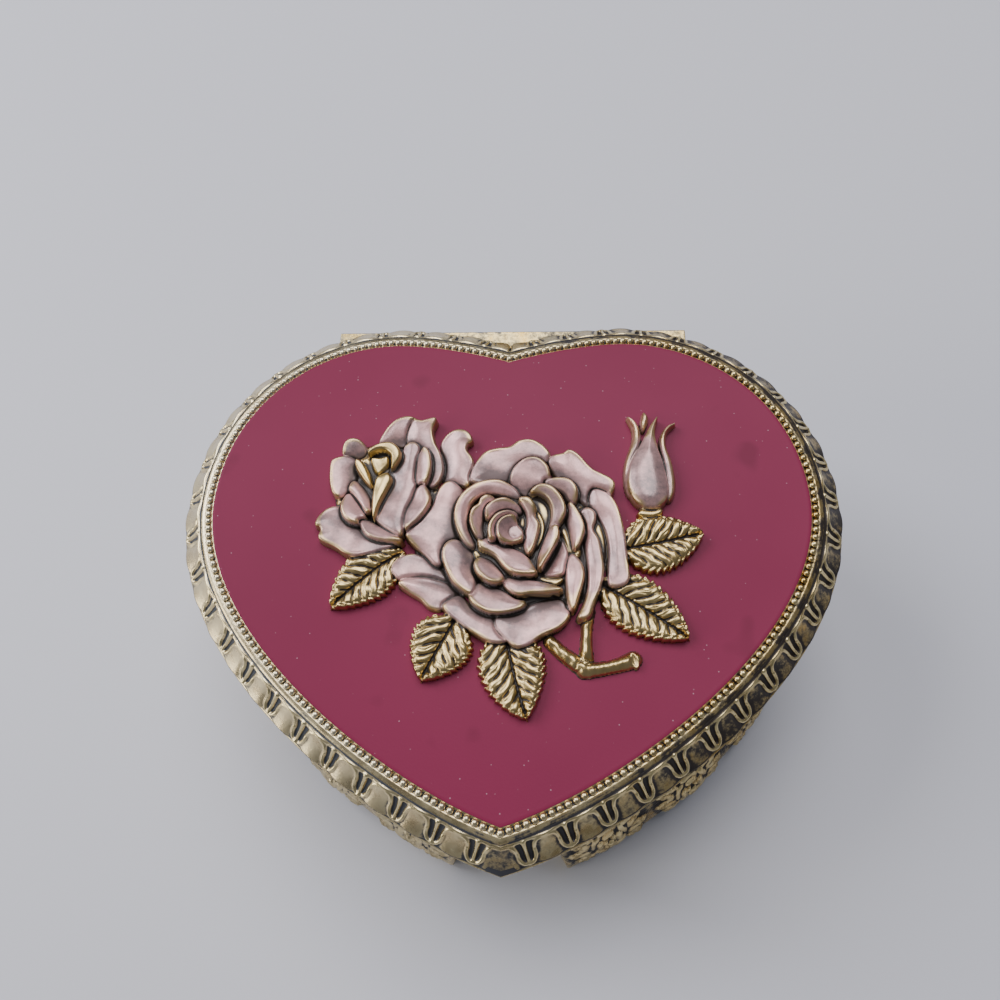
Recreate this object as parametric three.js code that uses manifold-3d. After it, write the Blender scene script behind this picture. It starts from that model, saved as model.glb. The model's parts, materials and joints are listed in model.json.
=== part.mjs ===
// A heart-shaped trinket box of cast metal: a footed box, a hinged lid with a spray of roses
// in relief on its enamelled panel, and the pin of the hinge. Millimetres, +Z up. The tip of
// the heart points to -Y and the hinge is at +Y. The origin is at the middle of the base.
import * as THREE from 'three';
import { mergeVertices } from 'three/addons/utils/BufferGeometryUtils.js';
import Module from 'manifold-3d';

const wasm = await Module();
wasm.setup();

// Driving dimensions, in millimetres
const enamelWidth = 97;
const tipReach = 40;
const lobeReach = 39.3;
const cleftDepth = 3.6;
const bodyHeight = 36;
const seamGap = 0.3;
const footHeight = 5;
const floorThickness = 2;
const wallThickness = 2.2;
const wallOffset = 3.6;
const mouldingProjection = 1.6;
const mouldingHeight = 2.4;
const apronProjection = 5.7;
const apronHeight = 15;
const footWidth = 2.6;
const rimOverhang = 6.3;
const rimHeight = 5.6;
const lipHeight = 1.3;
const lipThickness = 1.9;
const panelThickness = 1.5;
const beadDiameter = 1.15;
const beadLedge = 0.35;
const hingeWidth = 64;
const lidKnuckleWidth = 22;
const knuckleRadius = 1.6;
const pinRadius = 0.7;
const hingeClearance = 0.3;
const ledgeThickness = 1.5;
const ledgeReach = 0.4;
const railHeight = 3.3;
const tipToComb = 2.2;
const combPitch = 5.97;
const combRelief = 0.45;
const sprayWidth = 62;
const reliefDepth = 4.6;
const rosetteRadius = 3.4;
const apronRelief = 0.6;
const tipToFrontFoot = 6.8;
const frontFootLength = 49;
const footGap = 18;
const backFootLength = 36;

// Heights that follow from them
const seamTop = bodyHeight + seamGap;
const panelTop = seamTop + rimHeight;
const floorTop = footHeight + floorThickness;
const innerOffset = wallOffset - wallThickness;
const hingeAxisZ = bodyHeight - knuckleRadius - 0.05;
const hingeAxisY = lobeReach + rimOverhang - 0.7;

// How finely the outline and the round bars are faceted
const stationCount = 24;
const roundSides = 12;

// A cutting block reaches this far beyond what it cuts
const spare = 1;

function solidOf(geometry) {
  const bare = geometry.clone();
  bare.deleteAttribute('normal');
  bare.deleteAttribute('uv');
  const merged = mergeVertices(bare, 1e-4);
  return new wasm.Manifold(new wasm.Mesh({
    numProp: 3,
    vertProperties: new Float32Array(merged.attributes.position.array),
    triVerts: new Uint32Array(merged.index.array),
  }));
}

function geometryOf(solid) {
  const mesh = solid.getMesh();
  const geometry = new THREE.BufferGeometry();
  geometry.setAttribute('position', new THREE.BufferAttribute(mesh.vertProperties, 3));
  geometry.setIndex(new THREE.BufferAttribute(mesh.triVerts, 1));
  geometry.computeVertexNormals();
  return geometry;
}

// The right half of the enamelled heart: tip, side, round lobe, shallow cleft
function halfHeart() {
  const w = enamelWidth / 2;
  const tip = tipReach;
  const lobe = lobeReach;
  const path = new THREE.Path();
  path.moveTo(0, -tip);
  path.bezierCurveTo(0.345 * w, -0.866 * tip, w, -0.33 * tip, w, 0.24 * lobe);
  path.bezierCurveTo(w, 0.74 * lobe, 0.677 * w, lobe, 0.409 * w, lobe);
  path.bezierCurveTo(0.28 * w, lobe, 0.108 * w, lobe - 0.54 * cleftDepth, 0, lobe - cleftDepth);
  return path;
}

const heartPath = halfHeart();
const halfLength = heartPath.getLength();
const footEnds = [
  tipToFrontFoot,
  tipToFrontFoot + frontFootLength,
  tipToFrontFoot + frontFootLength + footGap,
  tipToFrontFoot + frontFootLength + footGap + backFootLength,
];

// A place on the half outline, a given length from the tip, with its outward direction
function stationAt(s) {
  const point = heartPath.getPointAt(s / halfLength);
  const tangent = heartPath.getTangentAt(s / halfLength);
  return { s, x: point.x, y: point.y, nx: tangent.y, ny: -tangent.x };
}

// Stations along the half outline, with a close pair at each end of a foot
function stationsAlongHalf() {
  const lengths = [];
  for (let k = 0; k <= stationCount; k += 1) {
    lengths.push((halfLength * k) / stationCount);
  }
  const endStep = 0.5;
  const kept = lengths.filter((s) => footEnds.every((end) => Math.abs(s - end) > 2 * endStep));
  footEnds.forEach((end) => kept.push(end - endStep, end + endStep));
  kept.sort((a, b) => a - b);
  return kept.map((s) => stationAt(s));
}

const stations = stationsAlongHalf();

// A point moved out from the outline; at the tip and the cleft it slides along its own
// tangent line, so that the two halves meet in a clean mitre on the centre line
function offsetPoint(station, offset) {
  const x = station.x + station.nx * offset;
  const least = station.x * 0.3;
  const onCentreLine = station.x < 0.001;
  if (x >= least && !onCentreLine) {
    return [x, station.y + station.ny * offset];
  }
  const slope = -station.nx / station.ny;
  return [least, station.y + offset / station.ny + slope * (least - station.x)];
}

// One closed ring round the heart; offset and height may change along the way
function ring(offsetAt, heightAt) {
  const right = stations.map((station) => {
    const [x, y] = offsetPoint(station, offsetAt(station.s));
    return new THREE.Vector3(x, y, heightAt(station.s));
  });
  right[0].x = 0;
  right[right.length - 1].x = 0;
  const left = right.slice(1, -1).reverse().map((p) => new THREE.Vector3(-p.x, p.y, p.z));
  return right.concat(left);
}

const level = (value) => () => value;

const flatCap = (points) => THREE.ShapeUtils.triangulateShape(
  points.map((p) => new THREE.Vector2(p.x, p.y)),
  [],
);
const fanCap = (points) => points.slice(2).map((p, k) => [0, k + 1, k + 2]);

// A closed skin through a list of rings, capped at its first and last ring
function skin(rings, capOf) {
  const count = rings[0].length;
  const positions = rings.flat().flatMap((p) => [p.x, p.y, p.z]);
  const index = [];
  for (let r = 0; r + 1 < rings.length; r += 1) {
    for (let k = 0; k < count; k += 1) {
      const next = (k + 1) % count;
      const a = r * count + k;
      const b = r * count + next;
      index.push(a, b, b + count, a, b + count, a + count);
    }
  }
  const last = (rings.length - 1) * count;
  capOf(rings[0]).forEach(([a, b, c]) => index.push(c, b, a));
  capOf(rings[rings.length - 1]).forEach(([a, b, c]) => index.push(last + a, last + b, last + c));
  const geometry = new THREE.BufferGeometry();
  geometry.setAttribute('position', new THREE.Float32BufferAttribute(positions, 3));
  geometry.setIndex(index);
  return geometry;
}

// A solid heart block between two heights, used to cut hollows
function heartBlock(offset, low, high) {
  return solidOf(skin([ring(level(offset), level(low)), ring(level(offset), level(high))], flatCap));
}

function boxBetween(low, high) {
  const size = high.map((value, k) => value - low[k]);
  const box = new THREE.BoxGeometry(...size);
  box.translate(low[0] + size[0] / 2, low[1] + size[1] / 2, low[2] + size[2] / 2);
  return solidOf(box);
}

// A round bar along X at the hinge
function hingeBar(radius, from, to) {
  const bar = new THREE.CylinderGeometry(radius, radius, to - from, roundSides);
  bar.rotateZ(Math.PI / 2);
  bar.translate((from + to) / 2, hingeAxisY, hingeAxisZ);
  return bar;
}

// The box: a hollow heart with a moulded top edge and an apron that flares into four long
// feet, broken off at the tip, at the sides and behind
function isFoot(s) {
  const inFront = s > footEnds[0] && s < footEnds[1];
  const inBack = s > footEnds[2] && s < footEnds[3];
  return inFront || inBack ? 1 : 0;
}

// The apron's lower edge rises in a shallow arch in the middle of each foot
function footRise(s) {
  const archRise = 0.55 * footHeight;
  const archHalf = 0.3;
  const gapRise = footHeight - 0.4;
  const inFront = s < (footEnds[1] + footEnds[2]) / 2;
  const start = inFront ? footEnds[0] : footEnds[2];
  const length = inFront ? frontFootLength : backFootLength;
  const along = (s - start) / length;
  const arch = Math.max(0, 1 - ((along - 0.5) / archHalf) ** 2);
  return isFoot(s) ? archRise * arch : gapRise;
}

// The apron's outer face is this far out at a given share of its full flare; between the
// feet it stands out only a little
const gapFlare = 0.12;
const flareAt = (s) => apronProjection * (gapFlare + (1 - gapFlare) * isFoot(s));
const apronAt = (share) => (s) => wallOffset + flareAt(s) * share;

// A frame on the apron's face: along the outline, up the face and out of it
function apronFrame(s, z, share) {
  const station = stationAt(s);
  const [x, y] = offsetPoint(station, apronAt(share)(s));
  const along = new THREE.Vector3(-station.ny, station.nx, 0);
  const lean = 0.26;
  const up = new THREE.Vector3(-station.nx * lean, -station.ny * lean, 1).normalize();
  const frame = new THREE.Matrix4().makeBasis(along, up, new THREE.Vector3().crossVectors(along, up));
  return frame.setPosition(x, y, z);
}

// A rosette of four blunt petals
function rosette() {
  const count = 8;
  const rim = (share, z) => [...Array(count).keys()].map((k) => {
    const radius = rosetteRadius * share * (k % 2 === 0 ? 1 : 0.78);
    const angle = (2 * Math.PI * k) / count;
    return new THREE.Vector3(radius * Math.cos(angle), radius * Math.sin(angle), z);
  });
  return skin([rim(0.95, -1), rim(1, 0.4 * apronRelief), rim(0.5, apronRelief)], fanCap);
}

// A pointed leaf beside a rosette, as a low four-sided pyramid
function sideLeaf(way) {
  const leaf = new THREE.ConeGeometry(1, 1, 4);
  const sunk = 0.9;
  leaf.rotateX(Math.PI / 2);
  leaf.scale(rosetteRadius * 0.85, rosetteRadius * 0.5, sunk + apronRelief);
  leaf.translate(rosetteRadius * 1.25 * way, 0, (apronRelief - sunk) / 2);
  return leaf;
}

// Flowers and leaves spread along each foot
function apronCarving() {
  const spacing = 4.2 * rosetteRadius;
  const middle = 0.48 * apronHeight;
  const flareThere = 0.8;
  const parts = [];
  [[footEnds[0], frontFootLength], [footEnds[2], backFootLength]].forEach(([start, length]) => {
    const count = Math.round(length / spacing);
    for (let k = 0; k < count; k += 1) {
      const s = start + (length * (k + 0.5)) / count;
      const place = apronFrame(s, middle, flareThere);
      [rosette(), sideLeaf(1), sideLeaf(-1)].forEach((geometry) => {
        const solid = solidOf(geometry.applyMatrix4(place));
        parts.push(solid, solid.mirror([1, 0, 0]));
      });
    }
  });
  return parts;
}

function buildBody() {
  const apronLow = 1.4;
  const bottomAt = (lift) => (s) => footRise(s) + lift;
  const shoulder = 0.52 * apronHeight;
  const neck = 0.78 * apronHeight;
  const topOffset = wallOffset + mouldingProjection;
  const rings = [
    ring(level(innerOffset - footWidth), level(footHeight)),
    ring((s) => innerOffset + isFoot(s) * (apronProjection + wallThickness - footWidth), bottomAt(0)),
    ring(apronAt(1), bottomAt(0)),
    ring(apronAt(1), bottomAt(apronLow)),
    ring(apronAt(0.78), level(shoulder)),
    ring(apronAt(0.3), level(neck)),
    ring(level(wallOffset), level(apronHeight)),
    ring(level(wallOffset), level(bodyHeight - mouldingHeight)),
    ring(level(topOffset), level(bodyHeight - 0.55 * mouldingHeight)),
    ring(level(topOffset), level(bodyHeight)),
    ring(level(innerOffset), level(bodyHeight)),
    ring(level(innerOffset), level(floorTop)),
  ];
  let solid = solidOf(skin(rings, flatCap));
  apronCarving().forEach((carving) => {
    solid = solid.add(carving);
  });

  const half = hingeWidth / 2;
  const lidHalf = lidKnuckleWidth / 2;
  const railLow = bodyHeight - railHeight;
  const railDepth = 12;
  const behind = hingeAxisY + 3 * knuckleRadius;
  const rail = boxBetween([-half, hingeAxisY - railDepth, railLow], [half, hingeAxisY, bodyHeight]);
  const cavity = heartBlock(innerOffset + wallThickness / 2, railLow - spare, bodyHeight + spare);
  const lidSweep = boxBetween(
    [-lidHalf, hingeAxisY - knuckleRadius - hingeClearance, railLow - spare],
    [lidHalf, behind, bodyHeight + spare],
  );
  const aboveTop = boxBetween(
    [-half - spare, hingeAxisY, bodyHeight],
    [half + spare, behind, bodyHeight + 2 * knuckleRadius],
  );
  solid = solid.add(rail.subtract(cavity)).add(solidOf(hingeBar(knuckleRadius, -half, half)));
  solid = solid.subtract(lidSweep).subtract(aboveTop);
  return solid.subtract(solidOf(hingeBar(pinRadius + hingeClearance, -half - spare, half + spare)));
}

// The rose spray. Each petal is a bowed stroke: x0, y0, bend x, bend y, x1, y1, half width
// at its start, middle and end, and its lift, drawn for a spray of drawnWidth
const drawnWidth = 62;
const drawnDepth = 4.6;
const leftRose = {
  centre: [-20.5, 13], radius: 10, crown: 2.2,
  petals: [
    [-19.4, 21, -14, 23.4, -12.7, 14.5, 2.7, 2.8, 1.9, 0.1],
    [-9.2, 20.1, -8.6, 16, -8.2, 12.8, 1.7, 1.7, 2.1, 0.2],
    [-25.9, 18.6, -25.6, 18.4, -25.3, 18.2, 1.5, 1.5, 1.4, 0.1],
    [-27.4, 15.2, -28.9, 12.8, -27, 10.5, 1.3, 1.8, 0.9, 0.2],
    [-28.2, 5.2, -25, 1.2, -18.5, 2.2, 2.6, 2.7, 1, 0.3],
    [-26, 10.2, -26.7, 6.2, -23.5, 5.8, 0.9, 1.6, 0.9, 0.7],
    [-16.6, 17.4, -18.8, 11, -18, 4.8, 2.2, 2.7, 1.9, 0.5],
    [-24.6, 12.4, -23.6, 9.6, -22, 7.2, 1, 1.1, 0.5, 0.9],
    [-23.4, 5.2, -20.9, 3, -17.2, 2.3, 0.7, 1.2, 0.4, 1.1],
    [-13.8, 18, -14.2, 15, -14, 12, 0.4, 1.1, 0.5, 1.1],
    [-14.2, 11.6, -13.3, 8, -15.6, 4.2, 0.7, 1.5, 0.4, 1],
    [-22.8, 17.8, -18.6, 21.6, -18.9, 15.6, 0.7, 0.8, 0.7, 1.6],
    [-25.2, 16.2, -24.4, 13.6, -22.6, 11.8, 0.3, 0.9, 0.3, 1.5],
    [-20.6, 13.4, -20.9, 9.8, -21.5, 6.4, 1.2, 0.9, 0.2, 1.4],
  ],
};
const mainRose = {
  centre: [1.5, 2.5], radius: 13, crown: 2.8,
  petals: [
    [-15.4, -2.4, -12.4, -2.8, -9, -4.5, 1.9, 2.1, 2.2, -0.3],
    [-14.9, -5.6, -12, -7, -8.5, -7.2, 1, 1.5, 1.6, 0.1],
    [-9.5, 10, -10.3, 6.2, -12.2, 2.6, 1.9, 2.6, 2.6, 0],
    [-14.5, 2.8, -12.4, 0.6, -10.4, -1.2, 0.8, 1.1, 0.8, 0.2],
    [-7.5, -8.8, -4.5, -11.6, -0.6, -12, 1.6, 1.9, 2, 0.2],
    [0.9, -12, 4.2, -11.6, 8.2, -9.2, 2.2, 2.1, 1.5, 0.3],
    [-4, 13.6, -1.6, 17.6, 4.6, 16.9, 1.8, 2.4, 2.3, 0],
    [9.6, 15.8, 12.8, 14.6, 14.8, 11, 2, 2.3, 2.3, 0.1],
    [15.4, 8.6, 17.6, 4.5, 17.4, -3.5, 1.8, 1.6, 1.3, 0.3],
    [3.2, 13.4, 4.4, 13.9, 5, 13.6, 2.3, 2.5, 2.3, 0.4],
    [7.2, 12, 11.2, 12.4, 10.4, 8.6, 1, 1.1, 0.6, 0.5],
    [1.2, 10.9, -4.4, 13.6, -6.7, 8.6, 0.8, 1.2, 1.1, 0.4],
    [-6.7, 8.6, -8.2, 4.6, -5.2, 1.4, 1.1, 1.1, 0.5, 0.4],
    [13.2, 6.6, 13.5, 5, 13.7, 3.4, 1, 0.8, 0.7, 0.3],
    [13.8, 3, 15.9, -3.4, 12, -9.6, 0.7, 1.3, 0.5, 0.4],
    [10.6, 8, 12.4, 4.8, 11, 1.4, 0.6, 1, 0.5, 0.3],
    [11, -0.6, 12.2, -4, 10.5, -8.4, 0.6, 1, 0.3, 0.5],
    [8.5, 1.2, 8.6, -0.8, 8, -2.6, 0.9, 1.3, 1.5, 0],
    [-8.3, 0.7, -8.6, -3, -5.6, -5.5, 1.3, 1.7, 0.9, 0.5],
    [-4.2, -6.8, -2, -9.6, 7.8, -7.5, 1, 1.6, 0.5, 0.5],
    [0.6, -4.9, 4, -5.2, 8, -6.1, 0.8, 1.1, 0.4, 0.5],
    [4.6, 10.7, 11.2, 11.4, 8, 5.2, 0.7, 1.2, 0.5, 0.6],
    [7.3, 3.8, 7.2, 0.6, 5.7, -2, 0.7, 0.9, 0.2, 0.8],
    [-2.2, 9.2, -7.2, 8.4, -4.2, 3, 0.5, 1, 0.4, 0.6],
    [-3.9, -1.5, -4, -3.4, -1.4, -3.8, 0.6, 1.1, 0.7, 0.4],
    [-3.4, 2.2, -0.2, 0.8, 4, -2.9, 0.5, 1.5, 0.4, 0.8],
    [3, 8.7, 5.9, 5.4, 3.9, 0.8, 0.6, 1.1, 0.3, 0.8],
    [-2.6, 6.8, -0.4, 10.8, 2, 7.2, 0.6, 0.8, 0.6, 0.8],
    [-2.1, 3.5, -2.8, 7.4, 1.2, 6.4, 0.4, 0.6, 0.4, 0.9],
    [0.3, 3.5, 0.8, 4.2, 1.2, 4.5, 1.4, 1.5, 1.3, 1.1],
  ],
};
const bud = {
  centre: [23.2, 12], radius: 9, crown: 1.2,
  petals: [
    [21.9, 6.9, 23, 6.5, 24.4, 7.1, 0.6, 0.7, 0.6, 0],
    [21.3, 12, 21.2, 18, 20.5, 24.2, 1.9, 1.5, 0.3, 0.3],
    [25.6, 11.8, 26, 18.6, 28, 23.2, 1.7, 1.3, 0.3, 0.2],
    [22.9, 11, 23.2, 17, 25.1, 24, 2.9, 2.2, 0.2, 0.7],
  ],
};
const stem = {
  centre: [12, -15], radius: 9, crown: 0.7,
  petals: [
    [12.8, -9.5, 12.5, -13, 12.2, -17, 1, 0.9, 1, 0.2],
    [7.2, -15.2, 11.5, -19.8, 19.3, -17.3, 0.8, 1.2, 1.1, 0.3],
  ],
};
// Each leaf: base x, y, bend x, y, tip x, y and its greatest half width
const leaves = [
  [-17.6, -1, -21.6, -3.4, -26.8, -9.2, 4],
  [-7.6, -11.4, -9.4, -14.4, -12.2, -20.2, 4.6],
  [0.4, -13.4, 1.2, -19, 3.5, -25.6, 4.7],
  [19, 0.6, 24.6, 1.6, 31, 3.2, 4.4],
  [15.6, -5.8, 21, -8.6, 27.6, -13.6, 4.2],
];

// Each mound: centre x, y, reach along x and y, and height
const flowerMounds = [
  [3.5, 1.5, 13, 12.5, 1.5],
  [-20, 11, 8.5, 9, 1.3],
  [-10.5, 3.5, 4.5, 8, 1],
];

// A bowed stroke with its place, its sideways direction and its half width at each station
function strokeStations(row, count, widthAt) {
  const [x0, y0, bx, by, x1, y1] = row.map((value) => (value * sprayWidth) / drawnWidth);
  const ends = [new THREE.Vector2(x0, y0), new THREE.Vector2(x1, y1)];
  const curve = new THREE.QuadraticBezierCurve(ends[0], new THREE.Vector2(bx, by), ends[1]);
  const made = [];
  for (let k = 0; k <= count; k += 1) {
    const t = k / count;
    const tangent = curve.getTangent(t);
    const width = (widthAt(t) * sprayWidth) / drawnWidth;
    made.push({ point: curve.getPoint(t), tangent, side: [tangent.y, -tangent.x], width });
  }
  return made;
}

// Cross sections square to a stroke, each from its root in the panel over its top and back
function strokeSolid(made, heightsAt) {
  const root = -0.7;
  const rings = made.map((station, k) => {
    const profile = heightsAt(station, k);
    const [low, high] = [profile[0][0], profile[profile.length - 1][0]];
    return [[low, root], ...profile, [high, root]].map(([across, height]) => new THREE.Vector3(
      station.point.x + station.side[0] * across * station.width,
      station.point.y + station.side[1] * across * station.width,
      panelTop + height,
    ));
  });
  return solidOf(skin(rings, fanCap));
}

// A petal: a rolled band with rounded ends that lifts towards the rim of its flower
function petalSolid(petal, flower) {
  const [startWidth, middleWidth, endWidth, lift] = petal.slice(6);
  const length = Math.hypot(petal[4] - petal[0], petal[5] - petal[1]);
  const count = length > 6.5 ? 3 : 2;
  const made = strokeStations(petal.slice(0, 6), count, (t) => {
    const blend = startWidth * (1 - t) * (1 - 2 * t) + endWidth * t * (2 * t - 1);
    return Math.max(0.25, blend + middleWidth * 4 * t * (1 - t));
  });
  const rounded = (station, way) => ({
    ...station,
    point: station.point.clone().addScaledVector(station.tangent, way * station.width * 0.75),
    width: station.width * 0.5,
  });
  const all = [rounded(made[0], -1), ...made, rounded(made[count], 1)];
  const [cx, cy] = flower.centre.map((value) => (value * sprayWidth) / drawnWidth);
  const scale = reliefDepth / drawnDepth;
  return strokeSolid(all, (station, k) => {
    const away = new THREE.Vector2(station.point.x - cx, station.point.y - cy);
    const spread = Math.min(1, (away.length() * drawnWidth) / sprayWidth / flower.radius);
    const atEnd = k === 0 || k === all.length - 1 ? 0.4 : 0;
    const top = 0.9 + flower.crown * (1 - 0.75 * spread ** 2) + lift - atEnd;
    const outward = Math.sign(away.x * station.side[0] + away.y * station.side[1]) * 0.22;
    return [[-1, -0.6], [0.1, 0.1], [1, -0.6]].map(([across, drop]) => [
      across,
      (top + drop + outward * across) * scale,
    ]);
  });
}

// A leaf: pointed, notched along its edges, ridged on each half, grooved along its midrib
function leafSolid(leaf) {
  const widest = leaf[6];
  const count = 5;
  const made = strokeStations(leaf.slice(0, 6), count, (t) => {
    const notch = 1 + 0.1 * (Math.round(t * count) % 2 === 0 ? 1 : -1);
    return 0.2 + widest * notch * Math.sin(Math.PI * (0.06 + 0.94 * t) ** 0.75) ** 0.85;
  });
  const scale = reliefDepth / drawnDepth;
  const profile = [[-1, 0.45], [-0.55, 1.35], [0, 0.75], [0.55, 1.35], [1, 0.45]];
  return strokeSolid(made, () => profile.map(([across, height]) => [across, height * scale]));
}

// The low mound of metal that a flower's petals stand on
function moundSolid([cx, cy, rx, ry, height]) {
  const scale = sprayWidth / drawnWidth;
  const count = 8;
  const rim = (share, z) => [...Array(count).keys()].map((k) => {
    const angle = (2 * Math.PI * k) / count;
    return new THREE.Vector3(
      (cx + rx * share * Math.cos(angle)) * scale,
      (cy + ry * share * Math.sin(angle)) * scale,
      panelTop + z,
    );
  });
  const top = (height * reliefDepth) / drawnDepth;
  return solidOf(skin([rim(1, -0.7), rim(1, 0.5 * top), rim(0.8, top)], flatCap));
}

function buildSpray() {
  const mounds = flowerMounds.map((mound) => moundSolid(mound));
  const petals = [stem, bud, leftRose, mainRose].flatMap((flower) => (
    flower.petals.map((petal) => petalSolid(petal, flower))
  ));
  return leaves.map((leaf) => leafSolid(leaf)).concat(mounds, petals);
}

// One comb of the rim: a rounded heel with two spread prongs, standing up the sloping band
function combOutline() {
  const shape = new THREE.Shape();
  shape.moveTo(-0.7, -1.4);
  shape.lineTo(0.8, -1.4);
  shape.lineTo(1.35, 1.4);
  shape.lineTo(0, -0.5);
  shape.lineTo(-1.5, 1.3);
  return shape;
}

function buildCombs(bandLow, bandHigh) {
  const sunk = 0.6;
  const comb = new THREE.ExtrudeGeometry(combOutline(), {
    depth: combRelief + sunk,
    bevelEnabled: false,
  });
  comb.translate(0, 0, -sunk);
  const middle = (bandLow.offset + bandHigh.offset) / 2;
  const rise = bandHigh.z - bandLow.z;
  const run = bandLow.offset - bandHigh.offset;
  const combs = [];
  for (let s = tipToComb; s < halfLength - combPitch / 2; s += combPitch) {
    const station = stationAt(s);
    const [x, y] = offsetPoint(station, middle);
    const along = new THREE.Vector3(-station.ny, station.nx, 0);
    const up = new THREE.Vector3(-station.nx * run, -station.ny * run, rise).normalize();
    const out = new THREE.Vector3().crossVectors(along, up);
    const place = new THREE.Matrix4().makeBasis(along, up, out);
    place.setPosition(x, y, (bandLow.z + bandHigh.z) / 2);
    const right = solidOf(comb.clone().applyMatrix4(place));
    combs.push(right, right.mirror([1, 0, 0]));
  }
  return combs;
}

// The lid: enamelled panel inside a bead moulding, a sloping band with combs, a plain lip,
// and behind it the flat ledge that fills the cleft and carries the lid's hinge knuckle
function buildLid() {
  const beadOuter = beadLedge + beadDiameter;
  const bandLow = { offset: rimOverhang, z: seamTop + lipHeight };
  const bandHigh = { offset: beadOuter + 0.7, z: panelTop - 0.9 };
  const ceiling = panelTop - panelThickness;
  const ledgeDepth = 14;
  const rings = [
    ring(level(beadLedge), level(ceiling)),
    ring(level(rimOverhang - lipThickness), level(seamTop)),
    ring(level(rimOverhang), level(seamTop)),
    ring(level(bandLow.offset), level(bandLow.z)),
    ring(level(bandHigh.offset), level(bandHigh.z)),
    ring(level(beadOuter), level(panelTop - 0.45)),
    ring(level(beadLedge + 0.5 * beadDiameter), level(panelTop + 0.4 * beadDiameter)),
    ring(level(beadLedge), level(panelTop)),
  ];
  let solid = solidOf(skin(rings, flatCap));
  buildCombs(bandLow, bandHigh).forEach((comb) => {
    solid = solid.add(comb);
  });
  buildSpray().forEach((shape) => {
    solid = solid.add(shape);
  });

  const half = hingeWidth / 2;
  const lidHalf = lidKnuckleWidth / 2 - hingeClearance;
  const ledge = boxBetween(
    [-half, hingeAxisY - ledgeDepth, seamTop],
    [half, hingeAxisY + ledgeReach, seamTop + ledgeThickness],
  );
  const web = boxBetween(
    [-lidHalf, hingeAxisY - knuckleRadius, hingeAxisZ],
    [lidHalf, hingeAxisY + ledgeReach, seamTop + ledgeThickness],
  );
  const ledgeTop = seamTop + ledgeThickness;
  const hollow = heartBlock(rimOverhang - lipThickness, seamTop - spare, ledgeTop + spare);
  solid = solid.add(ledge.subtract(hollow)).add(web);
  solid = solid.add(solidOf(hingeBar(knuckleRadius, -lidHalf, lidHalf)));
  return solid.subtract(solidOf(hingeBar(pinRadius + hingeClearance, -half, half)));
}

function buildPin() {
  return hingeBar(pinRadius, -hingeWidth / 2, hingeWidth / 2);
}

const castMetal = new THREE.MeshStandardMaterial({ color: 0xb59f6a, roughness: 0.42, metalness: 0.9 });
const lidMetal = new THREE.MeshStandardMaterial({ color: 0x8c3858, roughness: 0.45, metalness: 0.4 });
const pinSteel = new THREE.MeshStandardMaterial({ color: 0x8d8778, roughness: 0.35, metalness: 1 });

function piece(name, geometry, material) {
  const mesh = new THREE.Mesh(geometry, material);
  mesh.name = name;
  return mesh;
}

// The origin is at the middle of the whole outline, on the surface the feet stand on
const body = piece('box_body', geometryOf(buildBody()), castMetal);
const lid = piece('lid', geometryOf(buildLid()), lidMetal);
const pin = piece('hinge_pin', buildPin(), pinSteel);

const trinketBox = new THREE.Group();
trinketBox.add(body, lid, pin);
const extent = new THREE.Box3().setFromObject(trinketBox);
const shift = -(extent.min.y + extent.max.y) / 2;
trinketBox.position.y = shift;

export default trinketBox;
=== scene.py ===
import json
import math

import bmesh
import bpy
import numpy as np
from mathutils import Matrix, Vector


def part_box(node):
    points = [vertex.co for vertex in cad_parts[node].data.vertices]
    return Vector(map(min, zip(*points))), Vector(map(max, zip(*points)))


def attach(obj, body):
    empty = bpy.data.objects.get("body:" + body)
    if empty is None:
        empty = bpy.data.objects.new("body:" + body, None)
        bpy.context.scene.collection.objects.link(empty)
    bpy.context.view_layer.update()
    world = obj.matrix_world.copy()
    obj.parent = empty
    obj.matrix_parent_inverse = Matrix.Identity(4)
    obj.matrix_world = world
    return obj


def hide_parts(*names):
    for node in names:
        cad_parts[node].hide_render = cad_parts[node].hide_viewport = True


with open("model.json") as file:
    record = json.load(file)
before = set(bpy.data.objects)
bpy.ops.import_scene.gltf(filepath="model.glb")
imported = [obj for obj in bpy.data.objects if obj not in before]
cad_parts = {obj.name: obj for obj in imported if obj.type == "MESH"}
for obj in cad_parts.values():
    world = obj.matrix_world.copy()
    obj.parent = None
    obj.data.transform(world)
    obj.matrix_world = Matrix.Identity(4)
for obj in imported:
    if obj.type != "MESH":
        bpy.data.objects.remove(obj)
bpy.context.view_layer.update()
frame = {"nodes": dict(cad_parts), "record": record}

# The box itself: one heart-shaped casting in zinc alloy, gilt and then darkened, with a floor,
# thin upright walls, a moulded top edge and an apron that flares into four long feet.
# Roses and leaves are cast on the apron, over a stippled ground.
MM = 0.001
RIM_OVERHANG = 6.3
TIP_REACH = 40.0
LOBE_REACH = 39.3
CLEFT_DEPTH = 3.6
HEART_MIDDLE = 4.0
WALL_OFFSET = 3.6
INNER_OFFSET = 1.4
MOULDING_OFFSET = 5.2
APRON_PROJECTION = 5.7
APRON_HEIGHT = 15.0
FOOT_HEIGHT = 5.0
FLOOR_TOP = 7.0
FOOT_WIDTH = 2.6
FOOT_STARTS = (6.8, 73.8)
FOOT_LENGTHS = (49.0, 36.0)
FOOT_END = 0.8
ROSETTE_RADIUS = 3.4

hinge_place = Vector(frame["record"]["behaviour"]["joints"][0]["pos_m"]) / MM
BODY_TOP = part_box("box_body")[1].z / MM
HEART_WIDTH = 2 * (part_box("lid")[1].x / MM - RIM_OVERHANG)
HEART_Y = hinge_place.y - (LOBE_REACH + RIM_OVERHANG - 0.7)


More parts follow.
